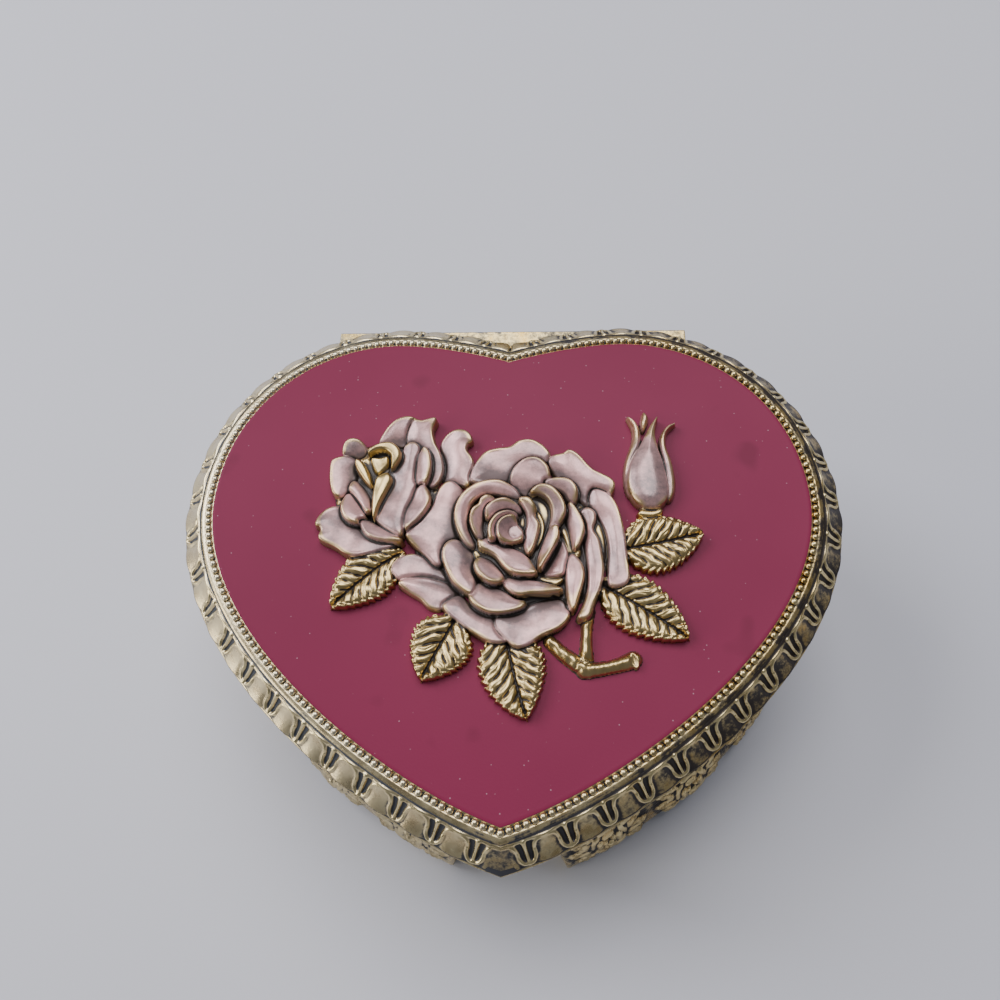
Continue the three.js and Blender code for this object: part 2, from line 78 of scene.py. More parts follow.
def bezier(points, count=400):
    """A curve between two ends, drawn by the two handles between them."""
    t = np.linspace(0, 1, count)[:, None]
    a, b, c, d = (np.array(point, float) for point in points)
    return a * (1 - t) ** 3 + 3 * b * t * (1 - t) ** 2 + 3 * c * t ** 2 * (1 - t) + d * t ** 3


def half_heart():
    """The right half of the enamel's outline: tip, side, round lobe, shallow cleft."""
    w, tip, lobe, cleft = HEART_WIDTH / 2, TIP_REACH, LOBE_REACH, CLEFT_DEPTH
    lower = bezier([(0, -tip), (0.345 * w, -0.866 * tip), (w, -0.33 * tip), (w, 0.24 * lobe)])
    upper = bezier([(w, 0.24 * lobe), (w, 0.74 * lobe), (0.677 * w, lobe), (0.409 * w, lobe)])
    inner = bezier([(0.409 * w, lobe), (0.28 * w, lobe), (0.108 * w, lobe - 0.54 * cleft),
                    (0, lobe - cleft)])
    return np.vstack([lower, upper[1:], inner[1:]])


outline = half_heart()
outline_length = np.concatenate([[0], np.cumsum(np.hypot(*np.diff(outline, axis=0).T))])
outline_slope = np.gradient(outline, outline_length, axis=0)
HALF_LENGTH = outline_length[-1]


def offset_outline(s, offset):
    """Places that lie a given way out from the outline, the two halves meeting in a mitre."""
    x, y = (np.interp(s, outline_length, outline[:, k]) for k in (0, 1))
    tx, ty = (np.interp(s, outline_length, outline_slope[:, k]) for k in (0, 1))
    size = np.hypot(tx, ty)
    nx, ny = ty / size, -tx / size
    plain = x + nx * offset
    least = 0.3 * x
    held = (plain < least) | (x < 0.001)
    slid_y = y + offset / ny - nx / ny * (least - x)
    return np.where(held, least, plain), np.where(held, slid_y, y + ny * offset)


def smooth(value):
    """A value held between nothing and one, with both ends eased."""
    value = np.clip(value, 0, 1)
    return value * value * (3 - 2 * value)


def foot_share(s):
    """One along a foot and nothing between the feet, with a steep end."""
    share = np.zeros_like(s)
    for start, length in zip(FOOT_STARTS, FOOT_LENGTHS):
        begun = smooth((s - start) / FOOT_END + 0.5)
        share += begun * smooth((start + length - s) / FOOT_END + 0.5)
    return share


def foot_rise(s):
    """Height of the lower edge: on the ground at a foot's ends, arched in its middle."""
    rise = np.full_like(s, FOOT_HEIGHT - 0.4)
    for start, length in zip(FOOT_STARTS, FOOT_LENGTHS):
        along = (s - start) / length
        arch = 0.55 * FOOT_HEIGHT * np.maximum(0, 1 - ((along - 0.5) / 0.3) ** 2)
        begun = smooth((s - start) / FOOT_END + 0.5)
        inside = begun * smooth((start + length - s) / FOOT_END + 0.5)
        rise = rise * (1 - inside) + arch * inside
    return rise


class Relief:
    """A field of heights in millimetres over a flat patch, carved by laying shapes on it."""

    def __init__(self, low, high, pitch, ground):
        self.low = low
        self.columns = int(round((high[0] - low[0]) / pitch))
        self.rows = int(round((high[1] - low[1]) / pitch))
        self.steps = ((high[0] - low[0]) / self.columns, (high[1] - low[1]) / self.rows)
        self.z = np.full((self.rows + 1, self.columns + 1), float(ground))
        self.paint = np.zeros_like(self.z)
        self.leafy = np.zeros_like(self.z)

    def window(self, points, margin):
        """The part of the field round some points, and the places of its samples."""
        cuts = []
        for k, count in ((1, self.rows), (0, self.columns)):
            first = (points[:, k].min() - margin - self.low[k]) / self.steps[k]
            last = (points[:, k].max() + margin - self.low[k]) / self.steps[k]
            cuts.append(slice(max(0, int(first)), min(count + 1, int(last) + 2)))
        y, x = (self.low[k] + np.arange(cut.start, cut.stop) * self.steps[k]
                for k, cut in ((1, cuts[0]), (0, cuts[1])))
        return tuple(cuts), *np.meshgrid(x, y)

    def lay_petal(self, level, corners, centre=(0, 0), lean=0.75, bulge=0.4, lip=0.1, grow=0.3, painted=1.0):
        """A petal with a closed outline: a low dome inside a thin lip, lifted on its outer side."""
        ends = np.array(corners, float).reshape(-1, 2)
        t = np.linspace(0, 1, 7)[:-1, None]
        before, after, beyond = (np.roll(ends, k, 0)[:, None] for k in (1, -1, -2))
        here = ends[:, None]
        curve = here + 0.5 * t * (after - before + t * (
            2 * before - 5 * here + 4 * after - beyond + t * (3 * (here - after) + beyond - before)))
        curve = curve.reshape(-1, 2)
        cut, x, y = self.window(curve, 1.2)
        following = np.roll(curve, -1, 0)
        run = following - curve
        dx, dy = x[..., None] - curve[:, 0], y[..., None] - curve[:, 1]
        along = np.clip((dx * run[:, 0] + dy * run[:, 1]) / (run ** 2).sum(1), 0, 1)
        away = np.hypot(dx - along * run[:, 0], dy - along * run[:, 1]).min(-1)
        spans = (curve[:, 1] > y[..., None]) != (following[:, 1] > y[..., None])
        crossing = curve[:, 0] + dy * run[:, 0] / np.where(run[:, 1] == 0, 1, run[:, 1])
        inside = (spans & (x[..., None] < crossing)).sum(-1) % 2
        depth = np.where(inside == 1, away, -away) + grow
        reach = np.hypot(x - centre[0], y - centre[1])
        reaches = np.hypot(curve[:, 0] - centre[0], curve[:, 1] - centre[1])
        span = (reaches.max() - reaches.min()) / 2
        outward = np.clip((reach - reaches.max() + span) / span, -1, 1)
        full = min(2.4, max(0.6, depth.max()))
        dome = bulge * (1 - (1 - np.clip(depth / full, 0, 1)) ** 2)
        waver = 0.6 + 0.6 * np.sin(0.9 * x + 0.7 * y + 3 * level)
        dome += lip * waver * np.exp(-((depth - 0.4) / 0.3) ** 2)
        ripple = 0.08 * np.sin(1.1 * x + 0.6 * y) * np.sin(0.9 * y - 0.5 * x + level)
        edge = 0.35 * np.maximum(0, 1 - depth / 0.4) ** 2
        top = level + lean * outward + dome + ripple - edge
        cover = smooth((depth + 0.09) / 0.18)
        sunk = 0.22 * np.exp(-(np.minimum(depth, 0) / 0.32) ** 2) * (self.z[cut] > 0.2)
        self.z[cut] = (self.z[cut] - sunk) * (1 - cover) + top * cover
        self.paint[cut] = self.paint[cut] * (1 - cover) + painted * smooth((depth + 0.06) / 0.12) * cover
        self.leafy[cut] *= 1 - cover

    def lay_stroke(self, row, level, painted=0.0, wall=0.12, groove=0.3, round_off=0.5):
        """A rounded bar along a bowed stroke, for stems and the prongs of the rim."""
        t = np.linspace(0, 1, 64)[:, None]
        start, bend, end = (np.array(row[k:k + 2], float) for k in (0, 2, 4))
        spine = start * (1 - t) ** 2 + 2 * bend * t * (1 - t) + end * t ** 2
        t = t[:, 0]
        width = row[6] * (1 - t) * (1 - 2 * t) + row[7] * 4 * t * (1 - t) + row[8] * t * (2 * t - 1)
        width = np.maximum(width, 0.08)
        cut, x, y = self.window(spine, width.max() + 1.0)
        depths = width - np.hypot(x[..., None] - spine[:, 0], y[..., None] - spine[:, 1])
        nearest = depths.argmax(-1)
        depth = np.take_along_axis(depths, nearest[..., None], -1)[..., 0]
        half = width[nearest]
        gnarl = 0.12 * round_off * np.sin(2.1 * x + 1.3 * y) * np.sin(1.7 * y - 2.6 * x)
        top = level + gnarl - round_off * half * (1 - np.clip(depth / half, 0, 1)) ** 2
        cover = smooth((depth + wall) / (2 * wall))
        sunk = groove * np.exp(-(np.minimum(depth, 0) / 0.4) ** 2) * (self.z[cut] > 0.2)
        laid = (self.z[cut] - sunk) * (1 - cover) + top * cover
        self.z[cut] = np.maximum(laid, self.z[cut] * (cover > 0.5))
        self.paint[cut] = self.paint[cut] * (1 - cover) + painted * cover
        self.leafy[cut] *= 1 - cover

    def lay_leaf(self, row, height=1.0, base=0.75, rib=1.75, teeth=12):
        """A leaf along a bowed midrib: saw-toothed, with deep forward-sloping veins."""
        t = np.linspace(0, 1, 90)[:, None]
        start, bend, end = (np.array(row[k:k + 2], float) for k in (0, 2, 4))
        spine = start * (1 - t) ** 2 + 2 * bend * t * (1 - t) + end * t ** 2
        slope = np.gradient(spine, axis=0)
        slope /= np.hypot(slope[:, 0], slope[:, 1])[:, None]
        length = np.concatenate([[0], np.cumsum(np.hypot(*np.diff(spine, axis=0).T))])
        cut, x, y = self.window(spine, row[6] + 1.2)
        nearest = np.hypot(x[..., None] - spine[:, 0], y[..., None] - spine[:, 1]).argmin(-1)
        dx, dy = x - spine[nearest, 0], y - spine[nearest, 1]
        across = dx * slope[nearest, 1] - dy * slope[nearest, 0]
        ahead = dx * slope[nearest, 0] + dy * slope[nearest, 1]
        run = length[nearest] + ahead
        along = np.clip(run / length[-1], 0, 1)
        full = 0.1 + row[6] * np.sin(math.pi * (0.04 + 0.96 * along) ** 0.72) ** 0.68
        share = np.clip(np.abs(across) / full, 0, 1.3)
        wobble = 0.7 * np.sin(1.3 * x + 0.7 * y) + 0.5 * np.sin(2.1 * y - 1.7 * x)
        strength = 0.35 + 0.65 * smooth(0.5 + 0.6 * np.sin(2.3 * x + 1.1 * y) * np.sin(1.9 * y - 1.4 * x))
        saw = (along * teeth - 0.5 * share + 4) % 1
        depth = full * (1 - 0.13 * saw) - np.abs(across) - np.maximum(0, np.abs(ahead) - 0.3)
        phase = (run - 0.85 * np.abs(across) + 0.5 * (across > 0) * rib + 0.18 * wobble) / rib + 8
        groove = strength * np.exp(-((phase % 1 - 0.5) / 0.14) ** 2) * (1 - 0.6 * share) * smooth(share * 8)
        fine = np.sin(math.pi * ((phase * 3.4 + 0.5 * wobble) % 1)) ** 2 * (1.3 - strength)
        half = 0.78 * np.sin(math.pi * np.clip(0.82 * share + 0.08, 0, 1)) ** 0.8
        ribs = 0.12 * np.sin(math.pi * ((phase + 0.5) % 1)) + 0.14 * fine
        midrib = 0.45 * np.exp(-(across / 0.2) ** 2)
        edge = 0.4 * np.maximum(0, 1 - depth / 0.3) ** 2
        edge += 0.22 * np.exp(-((depth - 0.62) / 0.16) ** 2) * (saw < 0.75)
        top = base + height * (half + ribs - 0.42 * groove - midrib - edge)
        cover = smooth((depth + 0.1) / 0.2)
        self.z[cut] = self.z[cut] * (1 - cover) + top * cover
        self.paint[cut] *= 1 - cover
        self.leafy[cut] = self.leafy[cut] * (1 - cover) + cover

    def lay_mound(self, centre, reach, height):
        """The low mound of metal that a flower's petals stand on."""
        corners = np.array([[centre[0] - reach[0], centre[1] - reach[1]],
                            [centre[0] + reach[0], centre[1] + reach[1]]], float)
        cut, x, y = self.window(corners, 0.5)
        out = np.hypot((x - centre[0]) / reach[0], (y - centre[1]) / reach[1])
        mound = height * smooth((1.02 - out) / 0.12) + self.z[0, 0] * smooth((out - 0.98) / 0.04)
        self.z[cut] = np.maximum(self.z[cut], mound)

    def blurred(self, sigma):
        """The heights averaged over a round patch, to tell hollows from ridges."""
        made = self.z
        for axis, step in ((0, self.steps[1]), (1, self.steps[0])):
            spread = sigma / step
            reach = int(3 * spread) + 1
            taps = np.exp(-0.5 * (np.arange(-reach, reach + 1) / spread) ** 2)
            taps /= taps.sum()
            pad = [(reach, reach) if k == axis else (0, 0) for k in (0, 1)]
            padded = np.pad(made, pad, mode="edge")
            made = sum(tap * np.take(padded, np.arange(made.shape[axis]) + k, axis)
                       for k, tap in enumerate(taps))
        return made

    def hollow(self, sigma=0.7, full=0.4):
        """One in the hollows and minus one on the ridges of a given size."""
        return np.clip((self.blurred(sigma) - self.z) / full, -1, 1)

    def sample(self, field, x, y):
        """A field read at any places, between its samples."""
        gx = np.clip((x - self.low[0]) / self.steps[0], 0, self.columns - 1e-6)
        gy = np.clip((y - self.low[1]) / self.steps[1], 0, self.rows - 1e-6)
        i, j = gx.astype(int), gy.astype(int)
        fx, fy = gx - i, gy - j
        low = field[j, i] * (1 - fx) + field[j, i + 1] * fx
        high = field[j + 1, i] * (1 - fx) + field[j + 1, i + 1] * fx
        return low * (1 - fy) + high * fy


def grid_places(bm):
    """Each vertex of a fresh grid as its share along X and along Y."""
    places = np.array([vert.co[:2] for vert in bm.verts])
    return (places - places.min(0)) / np.ptp(places, axis=0)


def turned_ring(columns, rows, place, marks=None):
    """A ring round the heart: a grid bent along its right half, then mirrored and closed."""
    bm = bmesh.new()
    bmesh.ops.create_grid(bm, x_segments=columns, y_segments=rows, size=1)
    u, v = grid_places(bm).T
    s = u * HALF_LENGTH
    offset, z, shrink = place(s, v * rows)
    x, y = offset_outline(s, offset)
    on_line = (u < 1e-6) | (u > 1 - 1e-6)
    x = np.where(on_line, 0, x) * (1 - shrink)
    y = y * (1 - shrink) + HEART_MIDDLE * shrink + HEART_Y
    values = marks(s, v * rows) if marks else {}
    for name, field in values.items():
        layer = bm.verts.layers.float.new(name)
        for vert, value in zip(bm.verts, field):
            vert[layer] = value
    for vert, co in zip(bm.verts, np.stack([x, y, z], 1) * MM):
        vert.co = co
    geometry = bm.verts[:] + bm.edges[:] + bm.faces[:]
    bmesh.ops.mirror(bm, geom=geometry, axis="X", merge_dist=1e-7)
    bmesh.ops.remove_doubles(bm, verts=bm.verts, dist=2e-6)
    bmesh.ops.dissolve_degenerate(bm, edges=bm.edges, dist=1e-7)
    bmesh.ops.recalc_face_normals(bm, faces=bm.faces)
    return bm


def finish_piece(bm, name, body, material, shaded=True):
    """Turns a bmesh into a named piece that rides on a body."""
    mesh = bpy.data.meshes.new(name)
    bm.to_mesh(mesh)
    bm.free()
    mesh.materials.append(material)
    for polygon in mesh.polygons:
        polygon.use_smooth = shaded
    piece = bpy.data.objects.new(name, mesh)
    bpy.context.scene.collection.objects.link(piece)
    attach(piece, body)
    return piece


def rows_to(profile):
    """A profile of corners, each with the rows that lead to it, as values at any row."""
    counts = np.cumsum([corner[-1] for corner in profile])
    return lambda row: [np.interp(row, counts, [corner[k] for corner in profile])
                        for k in range(len(profile[0]) - 1)], int(counts[-1])


# Each corner: offset between feet, further offset on a foot, height, share of the foot's
# rise, pull to the middle, rows that lead to it
body_profile = [
    (INNER_OFFSET - FOOT_WIDTH, 0, FOOT_HEIGHT, 0, 1, 0),
    (INNER_OFFSET - FOOT_WIDTH, 0, FOOT_HEIGHT, 0, 0, 5),
    (INNER_OFFSET + 0.1, APRON_PROJECTION - 0.5, 0.35, 1, 0, 5),
    (INNER_OFFSET + 0.4, APRON_PROJECTION - 0.4, 0, 1, 0, 1),
    (WALL_OFFSET + 0.1, APRON_PROJECTION - 0.6, 0, 1, 0, 2),
    (WALL_OFFSET + 0.5, APRON_PROJECTION - 0.5, 0.4, 1, 0, 1),
    (WALL_OFFSET + 0.53, APRON_PROJECTION - 0.53, 1.4, 1, 0, 3),
    (WALL_OFFSET, 0, APRON_HEIGHT, 0, 0, 34),
    (WALL_OFFSET, 0, BODY_TOP - 3.2, 0, 0, 14),
    (WALL_OFFSET + 0.5, 0, BODY_TOP - 2.9, 0, 0, 1),
    (WALL_OFFSET + 0.6, 0, BODY_TOP - 2.4, 0, 0, 1),
    (WALL_OFFSET + 0.3, 0, BODY_TOP - 2.1, 0, 0, 1),
    (MOULDING_OFFSET - 0.2, 0, BODY_TOP - 1.3, 0, 0, 2),
    (MOULDING_OFFSET, 0, BODY_TOP - 0.9, 0, 0, 1),
    (MOULDING_OFFSET, 0, BODY_TOP - 0.15, 0, 0, 2),
    (MOULDING_OFFSET - 0.15, 0, BODY_TOP, 0, 0, 1),
    (INNER_OFFSET + 0.2, 0, BODY_TOP, 0, 0, 2),
    (INNER_OFFSET, 0, BODY_TOP - 0.2, 0, 0, 1),
    (INNER_OFFSET, 0, FLOOR_TOP + 1.0, 0, 0, 6),
    (INNER_OFFSET - 1.0, 0, FLOOR_TOP, 0, 0, 3),
    (INNER_OFFSET - 1.0, 0, FLOOR_TOP, 0, 1, 6),
]
body_rows, body_row_count = rows_to(body_profile)
# The rows between which the carved apron lies
apron_first, apron_last = 17, 51


def carve_apron():
    """Roses with leaves on both sides, spread along each foot; across is along the outline."""
    carved = Relief((0, 0), (HALF_LENGTH, BODY_TOP), 0.22, 0)
    # A petal's outline: the turn from its middle and the share of the flower's radius
    petal_form = ((-0.6, 0.45), (-0.75, 0.8), (-0.3, 1.0), (0.3, 1.0), (0.75, 0.8), (0.6, 0.45))
    for start, length in zip(FOOT_STARTS, FOOT_LENGTHS):
        count = round(length / (4.2 * ROSETTE_RADIUS))
        for k in range(count):
            cx, cy = start + length * (k + 0.5) / count, 0.5 * APRON_HEIGHT
            for way in (1, -1):
                # Each leaf: how far its tip lies above the flower and how far out
                for rise, reach in ((3.0, 6.6), (-2.6, 6.2), (0.3, 7.2)):
                    leaf = (cx + 2.0 * way, cy + 0.3 * rise, cx + 4.2 * way, cy + 0.9 * rise,
                            cx + reach * way, cy + rise * 0.9, 1.15)
                    carved.lay_leaf(leaf, height=0.5, base=0.3, rib=1.2, teeth=5)
            # Each ring of petals: its share of the radius, its count and its height
            for ring_radius, petals, level in ((1.0, 5, 0.5), (0.66, 4, 0.75), (0.34, 3, 0.95)):
                for p in range(petals):
                    turn = 2 * math.pi * (p + 0.3 * (petals % 2)) / petals
                    corners = []
                    for swing, share in petal_form:
                        reach = ROSETTE_RADIUS * ring_radius * share
                        corners += [cx + reach * math.cos(turn + swing), cy + reach * math.sin(turn + swing)]
                    carved.lay_petal(level, corners, centre=(cx, cy), lean=0.2, bulge=0.15, grow=0.1)
    return carved


apron_relief = carve_apron()
apron_hollow = apron_relief.hollow(0.9, 0.3)


def body_shape(s, row):
    """The section of the box, row by row: its inside, the carved apron, the wall, the moulding."""
    offset, on_foot, z, rise, shrink = body_rows(row)
    foot = foot_share(s)
    t = np.clip((row - apron_first) / (apron_last - apron_first), 0, 1)
    share = smooth(1 - t) ** 0.6
    low = foot_rise(s) + 1.4
    in_apron = (row > apron_first) & (row < apron_last)
    z = z + rise * foot_rise(s)
    z = np.where(in_apron, low + (APRON_HEIGHT - low) * t, z)
    flare = WALL_OFFSET + APRON_PROJECTION * (0.12 + 0.88 * foot) * share
    out = np.where(in_apron, flare, offset + on_foot * foot)
    carved = apron_relief.sample(apron_relief.z, s, z)
    return out + np.where(in_apron, 1.05 * carved * foot, 0), z, shrink


def body_marks(s, row):
    """Where the patina lies between the flowers, and where the ground is stippled."""
    z = body_shape(s, row)[1]
    in_apron = (row > apron_first) & (row < apron_last)
    hollow = np.where(in_apron, apron_relief.sample(apron_hollow, s, z), 0)
    ground = np.where((row > apron_first - 3) & (row < apron_last + 14), 1.0, 0.0)
    ground *= 1 - smooth(apron_relief.sample(apron_relief.z, s, z) / 0.25)
    return {"hollow": hollow, "ground": ground}


def linear(colour):
    """An sRGB hex colour as linear red, green, blue, alpha."""
    parts = [int(colour[k:k + 2], 16) / 255 for k in (1, 3, 5)]
    return [c / 12.92 if c <= 0.04045 else ((c + 0.055) / 1.055) ** 2.4 for c in parts] + [1.0]


def add_node(tree, kind, settings=(), links=()):
    """Adds a node, sets its options and inputs, and links outputs to its inputs."""
    node = tree.nodes.new(kind)
    for key, value in dict(settings).items():
        if isinstance(key, str) and hasattr(node, key):
            setattr(node, key, value)
        else:
            node.inputs[key].default_value = value
    for key, output in dict(links).items():
        tree.links.new(output, node.inputs[key])
    return node


def per_mm(size):
    """The scale of a pattern, from the real size of one of its patches in millimetres."""
    return 1 / (size * MM)


def new_material(name):
    """An empty material and the tree that its nodes go in."""
    material = bpy.data.materials.new(name)
    material.use_nodes = True
    material.node_tree.nodes.clear()
    return material, material.node_tree


# Antique gilt casting: a thin gold wash over zinc alloy, dipped in a dark patina that was
# rubbed off the high places. Light and shade are painted across it: the left side is painted
# paler and silvery grey as a painted reflection of the window, with a grey-blue patina, and the
# right side is painted darker, keeping its gold and more brown patina, as painted shade. The
# real grain is finer than the specks here, which are drawn coarse enough to show.
GOLD, PALE_GOLD, SHEEN_SILVER, PATINA, GREY_PATINA = (
    "#a88a4c", "#dccb98", "#ddd1b2", "#29201a", "#343942")
LIT_SIDE, DARK_SIDE = -0.025, 0.03


def gilt_casting(name, wear=0.5, stipple=0.0, darkness=0.0, side_shade=0.2, side_sheen=0.5):
    """Wear bares the ridges and darkness adds patina; the last two paint shade onto the right side and a
    silvery painted sheen onto the left.
    """
    material, tree = new_material(name)
    coords = add_node(tree, "ShaderNodeTexCoord").outputs["Object"]
    hollow = add_node(tree, "ShaderNodeAttribute", {"attribute_name": "hollow"}).outputs["Fac"]
    patches = add_node(tree, "ShaderNodeTexNoise", {"Scale": per_mm(3), "Detail": 5.0, "Roughness": 0.6},
                       {"Vector": coords}).outputs["Fac"]
    specks = add_node(tree, "ShaderNodeTexNoise", {"Scale": per_mm(0.65), "Detail": 3.0, "Roughness": 0.7},
                      {"Vector": coords}).outputs["Fac"]
    sideways = add_node(tree, "ShaderNodeSeparateXYZ", (), {0: coords}).outputs["X"]
    # Painted light and shade by side: this share runs from the left side to the right side. It paints a
    # silvery sheen onto the left as a painted reflection, and darker patina onto the right as painted shade
    rightness = add_node(tree, "ShaderNodeMapRange", {"From Min": LIT_SIDE, "From Max": DARK_SIDE},
                         {"Value": sideways}).outputs[0]
    tone = add_node(tree, "ShaderNodeMapRange", {"From Min": 0.35, "From Max": 0.68}, {"Value": patches})
    gold = add_node(tree, "ShaderNodeMix", {"data_type": "RGBA", 6: linear(GOLD), 7: linear(PALE_GOLD)},
                    {0: tone.outputs[0]}).outputs[2]
    sheen_share = add_node(tree, "ShaderNodeMapRange", {"To Min": side_sheen, "To Max": 0.05},
                      {"Value": rightness}).outputs[0]
    gold = add_node(tree, "ShaderNodeMix", {"data_type": "RGBA", 7: linear(SHEEN_SILVER)},
                    {0: sheen_share, 6: gold}).outputs[2]
    height = add_node(tree, "ShaderNodeMapRange", {"From Min": -0.1, "From Max": -0.6, "To Max": wear},
                      {"Value": hollow}).outputs[0]
    rubbed = add_node(tree, "ShaderNodeMix", {"data_type": "RGBA", 7: linear(PALE_GOLD)},
                      {0: height, 6: gold}).outputs[2]
    deep = add_node(tree, "ShaderNodeMath", {"operation": "MULTIPLY_ADD", 1: 0.9, 2: -0.45 + darkness},
                    {0: patches}).outputs[0]
    # Painted shade: more patina towards the right side, less towards the left
    kept = add_node(tree, "ShaderNodeMapRange", {"To Min": -0.4 * side_shade, "To Max": side_shade},
                    {"Value": rightness}).outputs[0]
    deep = add_node(tree, "ShaderNodeMath", {"operation": "ADD"}, {0: deep, 1: kept}).outputs[0]
    reach = add_node(tree, "ShaderNodeMath", {"operation": "ADD"}, {0: hollow, 1: deep}).outputs[0]
    grit = add_node(tree, "ShaderNodeMath", {"operation": "MULTIPLY_ADD", 1: 0.5, 2: -0.25},
                    {0: specks}).outputs[0]
    reach = add_node(tree, "ShaderNodeMath", {"operation": "ADD"}, {0: reach, 1: grit}).outputs[0]
    dark = add_node(tree, "ShaderNodeMapRange",
                    {"From Min": 0.08, "From Max": 0.42, "interpolation_type": "SMOOTHSTEP"},
                    {"Value": reach}).outputs[0]
    patina = add_node(tree, "ShaderNodeMix",
                      {"data_type": "RGBA", 6: linear(GREY_PATINA), 7: linear(PATINA)},
                      {0: rightness}).outputs[2]
    colour = add_node(tree, "ShaderNodeMix", {"data_type": "RGBA"},
                      {0: dark, 6: rubbed, 7: patina}).outputs[2]
    metallic = add_node(tree, "ShaderNodeMapRange", {"To Min": 1.0, "To Max": 0.25},
                        {"Value": dark}).outputs[0]
    rough = add_node(tree, "ShaderNodeMapRange", {"To Min": 0.2, "To Max": 0.36},
                     {"Value": patches}).outputs[0]
    rough = add_node(tree, "ShaderNodeMath", {"operation": "MULTIPLY_ADD", 1: 0.2},
                     {0: dark, 2: rough}).outputs[0]
    bump = add_node(tree, "ShaderNodeBump", {"Strength": 0.25, "Distance": 0.00012}, {"Height": specks})
    if stipple:
        ground = add_node(tree, "ShaderNodeAttribute", {"attribute_name": "ground"}).outputs["Fac"]
        dots = add_node(tree, "ShaderNodeTexVoronoi", {"Scale": per_mm(0.7), "Randomness": 0.8},
                        {"Vector": coords})
        dents = add_node(tree, "ShaderNodeMath", {"operation": "MULTIPLY"},
                         {0: dots.outputs["Distance"], 1: ground}).outputs[0]
        bump = add_node(tree, "ShaderNodeBump", {"Strength": stipple, "Distance": 0.0003},
                        {"Height": dents, "Normal": bump.outputs[0]})
    shader = add_node(tree, "ShaderNodeBsdfPrincipled", (), {
        "Base Color": colour, "Metallic": metallic, "Roughness": rough, "Normal": bump.outputs[0]})
    add_node(tree, "ShaderNodeOutputMaterial", (), {"Surface": shader.outputs[0]})
    return material


body_metal = gilt_casting("antique gilt casting, stippled", stipple=0.8)
body_mesh = turned_ring(430, body_row_count, body_shape, body_marks)
body_piece = finish_piece(body_mesh, "box_casting", "base", body_metal)

# The hinge rail of the box: a straight bar cast on behind the top edge, rounded into two
# knuckles that the pin runs through. It fills the gap behind the cleft of the heart.
HINGE_WIDTH = 64.0
LID_KNUCKLE_WIDTH = 22.0
KNUCKLE_RADIUS = 1.6
PIN_HOLE_RADIUS = 1.0
RAIL_HEIGHT = 3.3
KNUCKLE_SIDES = 40


def outline_at(x, offset):
    """How far back the outline lies behind the lobes at a given X."""
    s = np.linspace(0.55 * HALF_LENGTH, HALF_LENGTH, 1500)
    ox, oy = offset_outline(s, offset)
    order = np.argsort(ox)
    return np.interp(np.abs(x), ox[order], oy[order]) + HEART_Y


def back_plate(from_x, to_x, offset, back, low, high, rounding):
    """A flat plate between the curved back of the heart and a straight edge, edges eased."""
    bm = bmesh.new()
    columns = max(4, int((to_x - from_x) / 1.5))
    bmesh.ops.create_grid(bm, x_segments=columns, y_segments=1, size=1)
    u, v = grid_places(bm).T
    x = from_x + (to_x - from_x) * u
    y = outline_at(x, offset) * (1 - v) + back * v
    for vert, co in zip(bm.verts, np.stack([x, y, np.full_like(x, low)], 1) * MM):
        vert.co = co
    made = bmesh.ops.extrude_face_region(bm, geom=bm.faces[:])["geom"]
    top = [item for item in made if isinstance(item, bmesh.types.BMVert)]
    bmesh.ops.translate(bm, verts=top, vec=(0, 0, (high - low) * MM))
    bmesh.ops.recalc_face_normals(bm, faces=bm.faces)
    sharp = [edge for edge in bm.edges if edge.calc_face_angle(0) > 0.9]
    bmesh.ops.bevel(bm, geom=sharp, offset=rounding * MM, offset_type="OFFSET", segments=3,
                    profile=0.5, material=-1, affect="EDGES")
    hollow = bm.verts.layers.float.new("hollow")
    for vert in bm.verts:
        # Painted shadow: the back edge is darkened as a painted shadow along the plate's far edge
        vert[hollow] = 0.3 if vert.co.y > (back - 0.1) * MM else 0.0
    return bm


def knuckle(from_x, to_x):
    """A bored knuckle round the hinge axis: an eased square section spun about the pin."""
    ease = 0.2
    section = [(from_x + ease, PIN_HOLE_RADIUS), (to_x - ease, PIN_HOLE_RADIUS),
               (to_x, PIN_HOLE_RADIUS + ease), (to_x, KNUCKLE_RADIUS - ease),
               (to_x - ease, KNUCKLE_RADIUS), (from_x + ease, KNUCKLE_RADIUS),
               (from_x, KNUCKLE_RADIUS - ease), (from_x, PIN_HOLE_RADIUS + ease)]
    bm = bmesh.new()
    ring = bmesh.ops.create_circle(bm, radius=1, segments=len(section))["verts"]
    ring = sorted(ring, key=lambda vert: math.atan2(vert.co.y, vert.co.x))
    for vert, (x, radius) in zip(ring, section):
        vert.co = Vector((x, hinge_place.y, hinge_place.z + radius)) * MM
    bmesh.ops.spin(bm, geom=bm.verts[:] + bm.edges[:], cent=hinge_place * MM, axis=(1, 0, 0),
                   dvec=(0, 0, 0), angle=2 * math.pi, steps=KNUCKLE_SIDES, use_merge=True,
                   use_duplicate=False)
    bmesh.ops.recalc_face_normals(bm, faces=bm.faces)
    return bm


# The hinge is given more patina and little bare metal, so it comes out darker than the box
hinge_metal = gilt_casting("antique gilt hinge", wear=0.3, darkness=0.17, side_shade=0.05, side_sheen=0.0)
half_hinge, half_knuckle = HINGE_WIDTH / 2, LID_KNUCKLE_WIDTH / 2
spans = {"left": (-half_hinge, -half_knuckle), "right": (half_knuckle, half_hinge)}
for side, (from_x, to_x) in spans.items():
    rail = back_plate(from_x, to_x, 2.6, hinge_place.y, BODY_TOP - RAIL_HEIGHT, BODY_TOP - 0.02, 0.2)
    finish_piece(rail, "hinge_rail_" + side, "base", hinge_metal, shaded=False)
    barrel = knuckle(from_x, to_x)
    finish_piece(barrel, "box_knuckle_" + side, "base", hinge_metal)
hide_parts("box_body")

